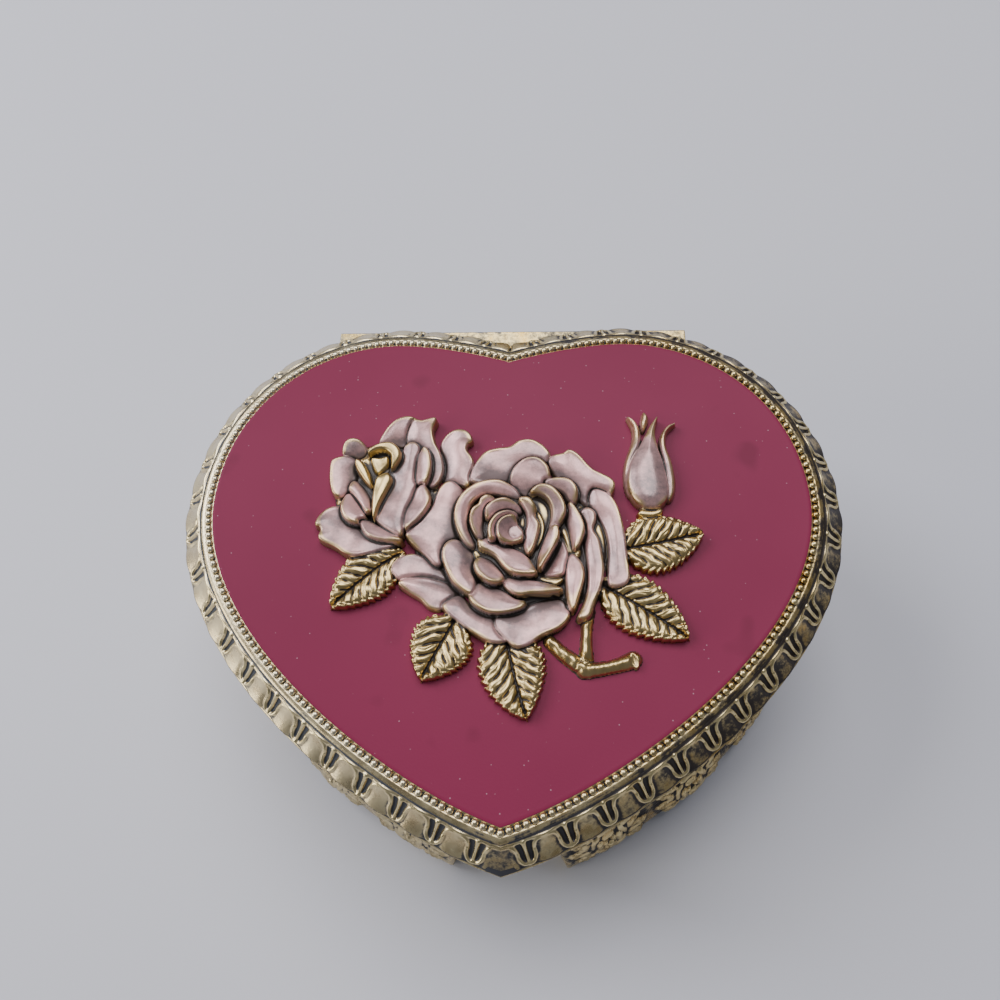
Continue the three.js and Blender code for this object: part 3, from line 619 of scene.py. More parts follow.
# The pin: a plain length of drawn wire through the knuckles, its ends flush with them. Drawn
# wire has fine lines along its length, drawn wider here to show, and is a dull grey brown.
pin_metal, pin_tree = new_material("drawn wire, dull")
pin_coords = add_node(pin_tree, "ShaderNodeTexCoord").outputs["Object"]
pin_map = add_node(pin_tree, "ShaderNodeMapping", {"Scale": (per_mm(25), per_mm(0.33), per_mm(0.33))},
                   {"Vector": pin_coords})
pin_noise = add_node(pin_tree, "ShaderNodeTexNoise", {"Scale": 1.0, "Detail": 3.0},
                     {"Vector": pin_map.outputs[0]}).outputs["Fac"]
pin_tone = add_node(pin_tree, "ShaderNodeMix",
                    {"data_type": "RGBA", 6: linear("#6d675c"), 7: linear("#a39c8c")},
                    {0: pin_noise}).outputs[2]
pin_rough = add_node(pin_tree, "ShaderNodeMapRange", {"To Min": 0.3, "To Max": 0.55}, {"Value": pin_noise})
pin_shader = add_node(pin_tree, "ShaderNodeBsdfPrincipled", {"Metallic": 1.0},
                      {"Base Color": pin_tone, "Roughness": pin_rough.outputs[0]})
add_node(pin_tree, "ShaderNodeOutputMaterial", (), {"Surface": pin_shader.outputs[0]})
for material_slot in frame["nodes"]["hinge_pin"].material_slots:
    material_slot.material = pin_metal

# The lid's casting: a shallow heart tray turned over. Its top is sunk for the enamel, with a
# bare line round it, a ledge for the beads and a raised fillet; below the sloping band comes
# a plain rounded lip. The same gilt and patina as the box.
SEAM_TOP = BODY_TOP + 0.3
PANEL_TOP = SEAM_TOP + 5.6
BAND_TOP = (2.3, PANEL_TOP - 0.45)
BAND_LOW = (5.85, SEAM_TOP + 1.5)
TIP_TO_COMB = 2.2
COMB_PITCH = 5.97
lid_profile = [
    (-0.35, PANEL_TOP - 0.3, 1, 0),
    (-0.35, PANEL_TOP - 0.3, 0, 2),
    (0.1, PANEL_TOP - 0.02, 0, 1),
    (0.34, PANEL_TOP - 0.04, 0, 1),
    (0.44, PANEL_TOP - 0.22, 0, 1),
    (1.28, PANEL_TOP - 0.3, 0, 3),
    (1.42, PANEL_TOP - 0.2, 0, 2),
    (1.9, PANEL_TOP - 0.3, 0, 2),
    (2.3, PANEL_TOP - 0.5, 0, 2),
    (2.45, PANEL_TOP - 0.95, 0, 1),
    (BAND_LOW[0] - 0.6, BAND_LOW[1] + 0.1, 0, 3),
    (BAND_LOW[0] + 0.02, BAND_LOW[1] - 0.1, 0, 1),
    (RIM_OVERHANG - 0.04, SEAM_TOP + 1.2, 0, 2),
    (RIM_OVERHANG, SEAM_TOP + 0.5, 0, 3),
    (RIM_OVERHANG - 0.1, SEAM_TOP + 0.1, 0, 2),
    (RIM_OVERHANG - 0.3, SEAM_TOP, 0, 1),
    (4.6, SEAM_TOP, 0, 2),
    (4.4, SEAM_TOP + 0.2, 0, 1),
    (0.6, PANEL_TOP - 1.7, 0, 4),
    (0.2, PANEL_TOP - 1.5, 0, 1),
    (0.2, PANEL_TOP - 1.5, 1, 5),
]
lid_rows, lid_row_count = rows_to(lid_profile)


def lid_marks(s, row):
    """Where the casting is darkened: patina under the beads and over the arches of the band, a dark groove,
    and a darker strip along the foot of the lip by the seam.
    """
    ledge = np.clip(1 - np.abs(row - 6.5) / 2.4, 0, 1)
    arch = 0.5 + 0.5 * np.cos(2 * math.pi * (s - TIP_TO_COMB) / COMB_PITCH)
    fillet = np.clip(1 - np.abs(row - 12) / 2.0, 0, 1) * (0.05 + 0.25 * arch)
    groove = np.clip(1 - np.abs(row - 14.5) / 1.6, 0, 1)
    seam = np.clip(1 - np.abs(row - 23) / 2.2, 0, 1)
    return {"hollow": 0.7 * ledge + fillet + 0.35 * groove + 0.45 * seam}


lid_metal = gilt_casting("antique gilt casting", wear=0.7, side_shade=0.2)
lid_mesh = turned_ring(360, lid_row_count, lambda s, row: lid_rows(row), lid_marks)
lid_piece = finish_piece(lid_mesh, "lid_casting", "lid", lid_metal)

# The sloping band of the rim, cast with the lid: an egg-and-dart moulding worn soft. Each
# comb has a rounded heel on the lip, two arms that join their neighbours' in arches over a
# plain swelling, and a dart between them. The slots hold the patina; the tip has a crease.
COMB_RELIEF = 0.5
EGG_GROUND = 0.26
EGG_RELIEF = 0.26
BAND_WIDTH = math.hypot(BAND_LOW[0] - BAND_TOP[0], BAND_TOP[1] - BAND_LOW[1])
BAND_ROWS = 40
# Each stroke: x0, y0, bend x, y, x1, y1, half width at its start, middle and end;
# x runs away from the tip and y up the band, from the middle of the comb's heel
comb_strokes = [
    (-2.4, 4.15, -1.3, 4.3, -1.18, 2.4, 0.1, 0.24, 0.28),
    (2.4, 4.15, 1.3, 4.3, 1.18, 2.4, 0.1, 0.24, 0.28),
    (-1.18, 2.4, -1.2, 0.4, 0, 0.4, 0.28, 0.28, 0.3),
    (1.18, 2.4, 1.2, 0.4, 0, 0.4, 0.28, 0.28, 0.3),
    (0, 0.5, 0, 2.5, 0, 4.35, 0.28, 0.24, 0.4),
]


def carve_band():
    """The band's relief: across is along the outline from the tip, up is up the band."""
    carved = Relief((0, 0), (HALF_LENGTH, BAND_WIDTH), 0.12, 0)
    places_s, places_y = np.meshgrid(np.arange(carved.columns + 1) * carved.steps[0],
                                     np.arange(carved.rows + 1) * carved.steps[1])
    combs_along = (places_s - TIP_TO_COMB) / COMB_PITCH
    from_comb = np.abs(combs_along - np.rint(combs_along)) * COMB_PITCH
    swell = np.clip(1 - ((COMB_PITCH / 2 - from_comb) / 1.8) ** 2, 0, 1)
    slots = smooth((1.2 - from_comb) / 0.2)
    slots *= smooth((places_y - 0.4) / 0.25) * smooth((4.3 - places_y) / 0.25)
    ends = smooth((places_y - BAND_WIDTH + 0.55) / 0.4)
    carved.z = (EGG_GROUND + EGG_RELIEF * swell) * (1 - slots) * (1 - ends)
    for middle in np.arange(TIP_TO_COMB, HALF_LENGTH + COMB_PITCH / 2, COMB_PITCH):
        for stroke in comb_strokes:
            placed = list(stroke)
            for j in (0, 2, 4):
                placed[j] += middle
            carved.lay_stroke(placed, COMB_RELIEF, wall=0.1, groove=0.04, round_off=0.4)
    return carved


band_relief = carve_band()
band_hollow = band_relief.hollow(0.5, 0.28)


def band_shape(s, row):
    """Front rows run up the band; the last rows return behind it, inside the casting."""
    up = np.clip(row / BAND_ROWS, 0, 1)
    sag = -0.2 * np.sin(math.pi * up) - 0.3 * np.exp(-(s / 0.35) ** 2)
    height = sag + band_relief.sample(band_relief.z, s, up * BAND_WIDTH)
    run, rise = BAND_LOW[0] - BAND_TOP[0], BAND_TOP[1] - BAND_LOW[1]
    out = (rise / BAND_WIDTH, run / BAND_WIDTH)
    behind = (row > BAND_ROWS + 0.5) & (row < BAND_ROWS + 1.5)
    up = np.where(row > BAND_ROWS + 1.5, 0, up)
    height = np.where(behind, -1.0, np.where(row > BAND_ROWS + 1.5, band_relief.sample(
        band_relief.z, s, np.zeros_like(s)), height))
    up = np.where(behind, 0.5, up)
    offset = BAND_LOW[0] - run * up + out[0] * height
    z = BAND_LOW[1] + rise * up + out[1] * height
    return offset, z, np.zeros_like(s)


def band_marks(s, row):
    """The patina in the slots, along both edges of the band and in the crease at the tip."""
    up = np.clip(row / BAND_ROWS, 0, 1) * BAND_WIDTH
    edge = 0.35 * smooth((up - BAND_WIDTH + 0.4) / 0.4) + 0.35 * smooth((0.3 - up) / 0.3)
    crease = 0.3 * np.exp(-(s / 0.3) ** 2)
    return {"hollow": band_relief.sample(band_hollow, s, up) + edge + crease}


band_metal = gilt_casting("antique gilt band", wear=0.8, darkness=0.06, side_shade=0.33)
band_mesh = turned_ring(1050, BAND_ROWS + 2, band_shape, band_marks)
finish_piece(band_mesh, "rim_band", "lid", band_metal)

# The beads: a cast pearl moulding round the enamel, about two hundred round beads on the
# ledge, bright where cloths and fingers have rubbed them, and painted silvery on the left side as a painted
# reflection.
BEAD_PITCH = 1.28
BEAD_RADIUS = 0.59
BEAD_OFFSET = 0.88
BEAD_SINK = 0.1

bead_line = offset_outline(np.linspace(0, HALF_LENGTH, 4000), BEAD_OFFSET)
bead_length = np.concatenate([[0], np.cumsum(np.hypot(*np.diff(np.array(bead_line), axis=1)))])
bead_count = int(round(bead_length[-1] / BEAD_PITCH))
beads = bmesh.new()
for k in range(bead_count + 1):
    place = bead_length[-1] * k / bead_count
    x, y = (float(np.interp(place, bead_length, line)) for line in bead_line)
    sides = (1,) if k in (0, bead_count) else (1, -1)
    for sign in sides:
        made = bmesh.ops.create_icosphere(beads, subdivisions=2, radius=BEAD_RADIUS * MM)["verts"]
        bmesh.ops.scale(beads, verts=made, vec=(1, 1, 0.92))
        middle = Vector((sign * x, y + HEART_Y, PANEL_TOP - BEAD_SINK))
        bmesh.ops.translate(beads, verts=made, vec=middle * MM)
bead_metal = gilt_casting("rubbed gilt beads", wear=0.9, darkness=-0.1, side_shade=0.04, side_sheen=1.0)
finish_piece(beads, "bead_moulding", "lid", bead_metal)

# The enamel: raspberry lacquer enamel run into the sunk heart, with a slight roll at its edge.
# Handling has dulled it to semi-matte, with little shine, a few dull stains and fine pale dust
# that is drawn coarse enough to show.
enamel_profile = [
    (0.2, PANEL_TOP - 0.4, 1, 0),
    (0.2, PANEL_TOP - 0.4, 0, 2),
    (0.24, PANEL_TOP - 0.04, 0, 1),
    (0.0, PANEL_TOP + 0.03, 0, 2),
    (-0.8, PANEL_TOP + 0.01, 0, 2),
    (-0.8, PANEL_TOP, 1, 10),
]
enamel_rows, enamel_row_count = rows_to(enamel_profile)
RASPBERRY, DEEP_RASPBERRY, STAIN, DUST = "#7d2644", "#70213c", "#601b31", "#c4a5ae"

enamel, tree = new_material("raspberry enamel, semi-matte")
coords = add_node(tree, "ShaderNodeTexCoord").outputs["Object"]
clouds = add_node(tree, "ShaderNodeTexNoise", {"Scale": per_mm(36), "Detail": 3.0},
                  {"Vector": coords}).outputs["Fac"]
tone = add_node(tree, "ShaderNodeMix",
                {"data_type": "RGBA", 6: linear(RASPBERRY), 7: linear(DEEP_RASPBERRY)},
                {0: clouds}).outputs[2]
blots = add_node(tree, "ShaderNodeTexNoise", {"Scale": per_mm(11), "Detail": 2.0},
                 {"Vector": coords}).outputs["Fac"]
blot = add_node(tree, "ShaderNodeMapRange", {"From Min": 0.68, "From Max": 0.76, "To Max": 0.5},
                {"Value": blots})
tone = add_node(tree, "ShaderNodeMix", {"data_type": "RGBA", 7: linear(STAIN)},
                {0: blot.outputs[0], 6: tone}).outputs[2]
grains = add_node(tree, "ShaderNodeTexVoronoi", {"Scale": per_mm(0.65)}, {"Vector": coords})
grain = add_node(tree, "ShaderNodeMapRange", {"From Min": 0.2, "From Max": 0.1, "To Max": 0.5},
                 {"Value": grains.outputs["Distance"]})
few = add_node(tree, "ShaderNodeMapRange", {"From Min": 0.84, "From Max": 0.88},
               {"Value": grains.outputs["Color"]}).outputs[0]
dust = add_node(tree, "ShaderNodeMath", {"operation": "MULTIPLY"}, {0: grain.outputs[0], 1: few}).outputs[0]
tone = add_node(tree, "ShaderNodeMix", {"data_type": "RGBA", 7: linear(DUST)}, {0: dust, 6: tone}).outputs[2]
fine = add_node(tree, "ShaderNodeTexNoise", {"Scale": per_mm(0.4), "Detail": 2.0},
                {"Vector": coords}).outputs["Fac"]
gloss = add_node(tree, "ShaderNodeMapRange", {"To Min": 0.4, "To Max": 0.52}, {"Value": clouds}).outputs[0]
bump = add_node(tree, "ShaderNodeBump", {"Strength": 0.12, "Distance": 0.00008}, {"Height": fine})
shader = add_node(tree, "ShaderNodeBsdfPrincipled", {"IOR": 1.5, "Specular IOR Level": 0.12},
                  {"Base Color": tone, "Roughness": gloss, "Normal": bump.outputs[0]})
add_node(tree, "ShaderNodeOutputMaterial", (), {"Surface": shader.outputs[0]})
enamel_mesh = turned_ring(240, enamel_row_count, lambda s, row: enamel_rows(row))
finish_piece(enamel_mesh, "enamel_panel", "lid", enamel)

# The rose spray: cast in one with the lid. Two open roses, a bud, five toothed leaves and a
# cut stem. The petals were painted in pearl pink, wiped with patina and rubbed at their
# edges; the leaves, the stem and the heart of the left rose were left gilt.

# Each petal: its height above the enamel, then the corners of its outline in the enamel's
# plane, measured as seen from above the tip of the heart
left_petals = [
    (1.0, -11.2, 19.4, -10.4, 20.9, -9, 21.8, -7.6, 21.7, -6.5, 20.9, -6.1, 19.8, -6.8, 19.3, -7, 18.2,
     -6, 16.6, -5.8, 15.2, -6.4, 13.6, -6.4, 11.8, -8, 12, -10, 11.9, -10.6, 13.4, -10.4, 16, -11, 18),
    (1.2, -21.7, 20.1, -20.8, 22, -19.2, 23.7, -17.4, 24.3, -15.9, 24, -15, 23.2, -15.5, 20, -17, 19,
     -20, 19.4),
    (1.4, -16.2, 23.6, -14.5, 23.6, -12.4, 24, -12.9, 22.2, -12.5, 19.8, -11.3, 17.2, -10.8, 14.6,
     -11.5, 12.4, -12.8, 11.6, -14, 13, -14.5, 17, -17, 20),
    (1.0, -27.4, 19.2, -26.6, 20, -25.2, 20, -24.2, 19, -24, 17.8, -25.2, 17, -27, 16.8, -27.6, 17.8),
    (1.2, -29.3, 15.6, -28.4, 16.5, -26.8, 16.9, -25.4, 16.2, -25, 14, -25.6, 11.4, -26.6, 10.2, -27.8,
     9.8, -28.7, 10.8, -29.2, 12.8),
    (1.3, -30.8, 4.8, -30.2, 6.6, -28.8, 7.9, -27, 8, -25.6, 6.4, -23.6, 4.9, -21, 3.2, -18, 2.2, -16.6,
     1.6, -18.6, 0.9, -21, 0.1, -23.6, -0.6, -25.4, -0.3, -27.2, 0.9, -29.8, 2.2, -29.8, 3.6, -30, 4.3),
    (1.9, -19, 15.4, -18, 16.6, -17.2, 19, -16, 19.6, -15, 18.6, -14.8, 16, -15, 13, -15.4, 10, -16, 7,
     -16.6, 4, -17, 2.8, -18.6, 3.6, -20.6, 5.2, -21.3, 6.6, -20.6, 9.4, -20, 12, -19.6, 14),
    (1.9, -25.4, 12.6, -24, 11.6, -22.8, 9.8, -22.2, 7.6, -22.6, 6.8, -23.8, 8, -25, 9.8, -25.9, 11.2),
    (2.0, -26.2, 10.4, -25.2, 9.6, -23.8, 7.6, -23, 5.8, -23.8, 5.1, -25.2, 5.3, -26.4, 6.3, -27, 8,
     -26.8, 9.4),
    (2.2, -23.7, 5.4, -22.6, 5.6, -20.8, 4.6, -18.8, 3.2, -16.8, 2, -18.6, 2, -21, 2.4, -22.7, 3.4),
    (2.3, -14, 18.4, -13.2, 17.4, -12.9, 15, -13.3, 13, -14, 11.9, -15, 12.8, -15.1, 15, -14.8, 17),
    (2.3, -13.9, 12, -13, 10.6, -12.7, 9, -13.4, 7, -14.6, 5, -15.6, 3.5, -16.2, 4.6, -16.2, 7, -15.4,
     9.4, -14.8, 11.4),
]
left_heart = [
    (1.6, -22.8, 16.6, -21.4, 16.8, -20, 17, -19.7, 15.6, -20.6, 14.4, -21.4, 13.6, -22.2, 14.4),
    (2.6, -23.4, 18.2, -22, 19.4, -20, 19.8, -18.4, 18.8, -17.9, 17.2, -18.6, 15.6, -19.4, 15, -19.5,
     16.2, -19.8, 17.6, -21, 18.3, -22.4, 18, -23.4, 17.6),
    (2.6, -25.3, 16.6, -24.2, 16, -23, 14, -22.3, 11.7, -23.4, 12.4, -24.8, 14.2, -25.5, 15.6),
    (2.7, -21.6, 13.6, -20, 14.2, -19.2, 13, -19.8, 11, -20.8, 8.4, -21.5, 5.9, -22, 7.4, -22.1, 10,
     -22, 12.4),
]
main_petals = [
    (0.9, -17.6, -3, -16.8, -1.3, -14.8, -0.4, -12.6, -0.9, -10.5, -2.3, -8.5, -4, -7.5, -6.5, -10, -7,
     -13, -5, -16.3, -4.6),
    (1.0, -16.4, -5.4, -15.6, -4.7, -13.3, -4.3, -10.5, -4.6, -8, -5.6, -6.5, -7.3, -8.2, -8.2, -9.6,
     -9.1, -11.4, -9, -13, -7.6, -14.8, -6.6),
    (1.3, -9.6, 12.3, -8.3, 11.8, -7.4, 10.6, -7.6, 7, -7.6, 3, -9.5, 1, -9.9, -1.4, -10.9, -1.9, -12.6,
     -0.3, -15.6, 2.3, -15.4, 3.4, -13.4, 5.4, -11.8, 8.2, -10.8, 11.2),
    (1.3, -5.9, 12.8, -5.4, 15, -3.8, 17.4, -1.8, 18.2, 0.4, 18.5, 2, 19.6, 4, 19.7, 6, 18.6, 7.1, 16.8,
     6, 15.5, 3, 13, -1, 11.5, -4.4, 12.2),
    (1.5, 7, 15.6, 7.5, 17, 9.3, 17.4, 10.3, 17.9, 11.8, 16.9, 14, 14.4, 17, 12.5, 17.2, 10.9, 16, 9.2,
     14, 8, 11, 10, 8.5, 13),
    (1.5, 14, 11, 16.3, 10.2, 17.6, 8.2, 18.5, 4.5, 18.8, 0, 18.9, -4.5, 16.4, -5.3, 16.1, -3, 16.4, 1,
     15.6, 5, 13.5, 8.6),
    (1.4, -9.3, -9, -8.4, -7.8, -6.8, -7, -5, -9, -2, -10.2, 1.5, -10, 2, -12, 0.6, -13.9, -1.6, -14.3,
     -3.8, -13.3, -6.8, -11.2),
    (1.5, 0.4, -13.8, 1.9, -15, 3.6, -14.6, 5.6, -13.2, 8.4, -11.8, 9.8, -10, 9.3, -8.3, 7.9, -7.5, 5,
     -8, 2, -9.6, -1, -10.3, -1, -12.2),
    (2.0, 0.7, 12.8, 1.3, 14.8, 2.9, 16.2, 4.9, 16.4, 6.5, 15.1, 7, 13, 7.2, 11.4, 5, 10.6, 3, 10.2,
     1.4, 11.2),
    (2.1, 6.4, 12.6, 8.4, 12.9, 10.2, 12.4, 11.3, 10.8, 11, 8.8, 10.2, 8.8, 9.4, 10.4, 8, 11.2, 6.6,
     11.4),
    (1.9, 12, 7.2, 13, 7.9, 14, 7.2, 14.2, 6, 13.7, 4.2, 14.6, 2.4, 15, 0, 15.2, -2.8, 14.6, -5.6, 13.6,
     -8, 12.8, -10.2, 11.4, -10.4, 12.4, -8, 13, -5.4, 13.1, -2.6, 12.9, 0, 12.6, 2.4, 12.9, 4.6, 12.6,
     5.8),
    (2.1, -5.2, -5.6, -4, -5, -2, -5.4, 0, -6.4, 1.6, -7.6, 3, -8, 2.4, -8.9, 0, -9.6, -2.4, -9.6, -4.4,
     -8.6, -5.4, -7.2),
    (1.9, -9.6, 1, -8.8, 2, -7.6, 2.1, -6.2, 1.2, -5.2, -0.6, -5.3, -3, -4.8, -5, -5.2, -6.6, -6.4,
     -6.2, -8, -4.8, -9.2, -2.6, -9.8, -0.6),
    (1.4, 8.5, 2.8, 9.2, 1.4, 9.7, -0.5, 9.6, -2.2, 8.8, -3.6, 7.2, -3.8, 6, -3.4, 6.8, -1.6, 7.6, 0.4),
    (2.3, 10.1, 8.4, 11, 7.6, 11.9, 5.8, 12.3, 4, 11.8, 2.2, 11, 0.9, 10.6, 2.2, 10.2, 4, 9.7, 5.8),
    (2.3, 10.3, -0.2, 11.2, -0.6, 12, -2, 12.1, -4, 11.4, -6.6, 10.6, -9, 10, -8.2, 9.7, -5.6, 9.7,
     -2.6),
    (2.4, 2, 10.2, 1, 11.4, -1, 12.4, -3, 12.4, -5.2, 11.6, -7.2, 9.8, -8.2, 7, -7.8, 4.4, -6.8, 2.4,
     -5.6, 1.2, -5.2, 1.6, -6.3, 4, -6.4, 6, -6, 8.2, -4.6, 9.8, -2.6, 10.4, 0, 10, 1.8, 9.6),
    (2.5, -0.5, -4.3, 1, -4, 4, -4.5, 7, -5.3, 8.7, -6.1, 7, -6.4, 4, -6.5, 2, -6.6, 0.6, -5.8),
    (2.6, -4.6, -1.2, -3.8, -0.8, -2.6, -1.2, -1.4, -2.4, -0.4, -4, -0.8, -4.7, -2.4, -4.8, -4, -3.6,
     -4.7, -2.3),
    (2.9, -4.2, 2.6, -3, 2.4, -1, 1.6, 1.6, 0.6, 3.4, -0.8, 4.4, -2.6, 4.7, -3.4, 3, -3.5, 1.2, -3.2,
     -0.2, -2, -1.4, -0.4, -2.6, 0.4, -4, 1),
    (2.6, -2.2, 9.4, -3.2, 9.7, -4, 9.2, -4.4, 8.2, -5.4, 7.2, -5.7, 5.6, -5.2, 4, -4.4, 2.8, -3.6, 2.6,
     -3.9, 4.6, -3.6, 6.6, -2.8, 8, -2, 8.6),
    (2.8, 4, 10.6, 5.4, 11.6, 7.2, 11.2, 8.7, 9.6, 9.4, 7.6, 8.9, 5.8, 7.6, 4, 6.6, 3.4, 7.3, 5.6, 7.4,
     7.8, 6.7, 9.4, 5.4, 10.3),
    (2.9, 8.1, 4.4, 8.2, 2.8, 7.4, 1, 6.2, -1.2, 5.4, -2.5, 5.3, -0.8, 5.8, 1.2, 6.7, 3.4, 7.4, 4.5),
    (3.0, 2.2, 9.1, 3.5, 9.2, 4.5, 8, 4.4, 6.4, 5.1, 5, 4.8, 3, 4.2, 0.9, 3.6, 0.2, 3, 1.8, 3.1, 3.6,
     3.5, 5, 3.4, 6.8, 2.8, 8),
    (3.1, -3.2, 6.6, -3, 7.8, -1.8, 8.8, 0, 9.1, 1.6, 8.3, 2.3, 7.2, 1.6, 6.9, 0.6, 7.2, -0.8, 7, -2.2,
     6.2, -3, 6),
    (3.3, -2.6, 2.8, -2.6, 4.6, -1.6, 6.2, 0, 7, 1.4, 6.8, 1.6, 6, 0.4, 6, -0.8, 5.4, -1.5, 4.2, -1.6,
     2.6, -2.3, 2.2),
    (3.6, -1.2, 3, -1.2, 4.8, -0.2, 5.9, 1.2, 6.2, 1.6, 5, 2.4, 4, 2.4, 2.6, 1.4, 2.2, 0.4, 2, -0.6,
     2.2),
]
bud_petals = [
    (0.9, 22.8, 25.2, 23.6, 24.2, 23.2, 22.6, 22.6, 21.6, 22.2, 22.8, 22.4, 24),
    (1.2, 20.1, 24.5, 21.5, 23.4, 22.2, 21, 22.2, 17, 21, 12, 19.9, 9.8, 19.2, 12.4, 19.5, 16, 20.8, 20,
     20.9, 22.4),
    (1.1, 28.1, 23.1, 26.6, 22.6, 25.4, 20.6, 25.2, 18, 25.6, 12, 26, 9, 27, 10, 27.4, 12.6, 27, 16,
     26.3, 19, 26.6, 21.4),
    (1.9, 25.2, 24.6, 24, 23, 23.2, 21.4, 22, 19, 20.4, 16, 19.7, 12.8, 20.2, 10, 21.4, 8.4, 22.8, 7.9,
     24.4, 8, 25.8, 9.2, 26.2, 11.4, 25.8, 15, 25, 18.4, 24.6, 21, 24.8, 23),
]
calyx = [(1.0, 21.2, 6.6, 22.4, 7.8, 24.6, 7.8, 24.8, 6.9, 23.4, 6.3)]
# Each stem: x0, y0, bend x, y, x1, y1, half widths
stem_strokes = [
    (12.7, -9.5, 12.4, -13, 12.3, -17, 1.15, 0.85, 1.2),
    (6.9, -14.1, 9.6, -16.9, 12.6, -18.5, 0.95, 1.1, 1.15),
    (12.0, -18.4, 15.6, -18.3, 19.3, -16.8, 1.2, 1.0, 1.35),
]
stem_cut = (1.35, 18.9, -15.8, 19.5, -15.9, 20, -16.8, 20.1, -17.8, 19.6, -18.2, 19, -17.6, 18.8, -16.6)
# Each leaf: base x, y, bend x, y, tip x, y and its greatest half width
leaves = [
    (-17.6, -1, -21.6, -3.4, -26.8, -9.2, 4.5),
    (-7.6, -11.4, -9.4, -14.4, -12.2, -20.2, 5.0),
    (0.4, -13.4, 1.2, -19, 3.5, -25.6, 5.2),
    (19, 0.6, 24.6, 1.6, 31, 3.2, 5.0),
    (15.6, -5.8, 21, -8.6, 27.6, -13.6, 4.7),
]
# The camera's place, from the middle of the enamel
SEEN_FROM = (5.5365, -43.113, 119.427)
SPRAY_PITCH = 0.15
SPRAY_GROUND = -0.4

spray = Relief((-32.5, -28), (33, 27), SPRAY_PITCH, SPRAY_GROUND)
# Each mound under a flower: its middle, its reach and its height
mounds = [((3.5, 1.5), (13, 12.5), 0.8), ((-20, 11), (8.5, 9), 0.8), ((-10.5, 3.5), (4.5, 8), 0.7),
          ((-20.5, 11.5), (5.5, 6.5), 1.4), ((2.5, 1.5), (10, 9.5), 1.5), ((1, 3.5), (5.5, 5.5), 2.1)]
for leaf in leaves:
    spray.lay_leaf(leaf, height=1.15)
for stroke in stem_strokes:
    spray.lay_stroke(stroke, 1.35, round_off=0.8)
spray.lay_petal(stem_cut[0], stem_cut[1:], lean=0, bulge=-0.5, lip=0, grow=0, painted=0)
for centre, reach, height in mounds:
    spray.lay_mound(centre, reach, height)


def lay_flower(petals, centre, **form):
    """Lays petals from the lowest to the topmost, each set back to where it was seen."""
    for level, *corners in petals:
        flat = np.array(corners, float).reshape(-1, 2)
        share = (SEEN_FROM[2] - level + 0.4) / SEEN_FROM[2]
        eye = np.array(SEEN_FROM[:2])
        spray.lay_petal(level, eye + (flat - eye) * share, centre=centre, **form)


bud_middle, left_middle, main_middle = (23.2, 12), (-20.5, 13), (1.5, 2.5)
lay_flower(calyx, bud_middle, lean=0, painted=0)
lay_flower(bud_petals, bud_middle, lean=0, bulge=0.9, lip=0.05, grow=0.12)
lay_flower(left_petals, left_middle)
lay_flower(left_heart, left_middle, lean=0.3, grow=0.1, painted=0)
lay_flower(main_petals, main_middle)
spray_patina_and_shadow = spray.hollow(0.6, 0.55) * (1 - 0.3 * spray.leafy)
spray_patina_and_shadow += spray.leafy * (spray.hollow(0.4, 0.25) + 0.06)
# Painted shadow: the foot of every petal, leaf and stem, where it rises from the enamel, is darkened as a
# painted shadow
spray_patina_and_shadow = np.where(spray.z < 0.3, 0.6, spray_patina_and_shadow)
# Painted shade: the broad hollows where petals overlap, read at a wide spread, to grey the paint
spray_shade = np.clip(spray.hollow(1.7, 1.0), 0, 1)

spray_mesh = bmesh.new()
bmesh.ops.create_grid(spray_mesh, x_segments=spray.columns, y_segments=spray.rows, size=1)
shares = grid_places(spray_mesh)
columns = np.rint(shares[:, 0] * spray.columns).astype(int)
rows = np.rint(shares[:, 1] * spray.rows).astype(int)
places = np.stack([spray.low[0] + columns * spray.steps[0], spray.low[1] + rows * spray.steps[1] + HEART_Y,
                   PANEL_TOP + spray.z[rows, columns]], 1) * MM
layers = {name: spray_mesh.verts.layers.float.new(name) for name in ("hollow", "paint", "shade")}
fields = {"hollow": spray_patina_and_shadow, "paint": spray.paint, "shade": spray_shade}
for name, layer in layers.items():
    for vert, value in zip(spray_mesh.verts, fields[name][rows, columns]):
        vert[layer] = value
for vert, co in zip(spray_mesh.verts, places):
    vert.co = co
sunk = (PANEL_TOP - 0.3) * MM
hidden = [face for face in spray_mesh.faces if all(vert.co.z < sunk for vert in face.verts)]
bmesh.ops.delete(spray_mesh, geom=hidden, context="FACES")
rim = [edge for edge in spray_mesh.edges if edge.is_boundary]
dropped = bmesh.ops.extrude_edge_only(spray_mesh, edges=rim)["geom"]
for item in dropped:
    if isinstance(item, bmesh.types.BMVert):
        item.co.z = (PANEL_TOP - 0.6) * MM
bmesh.ops.holes_fill(spray_mesh, edges=[edge for edge in spray_mesh.edges if edge.is_boundary], sides=0)
bmesh.ops.recalc_face_normals(spray_mesh, faces=spray_mesh.faces)

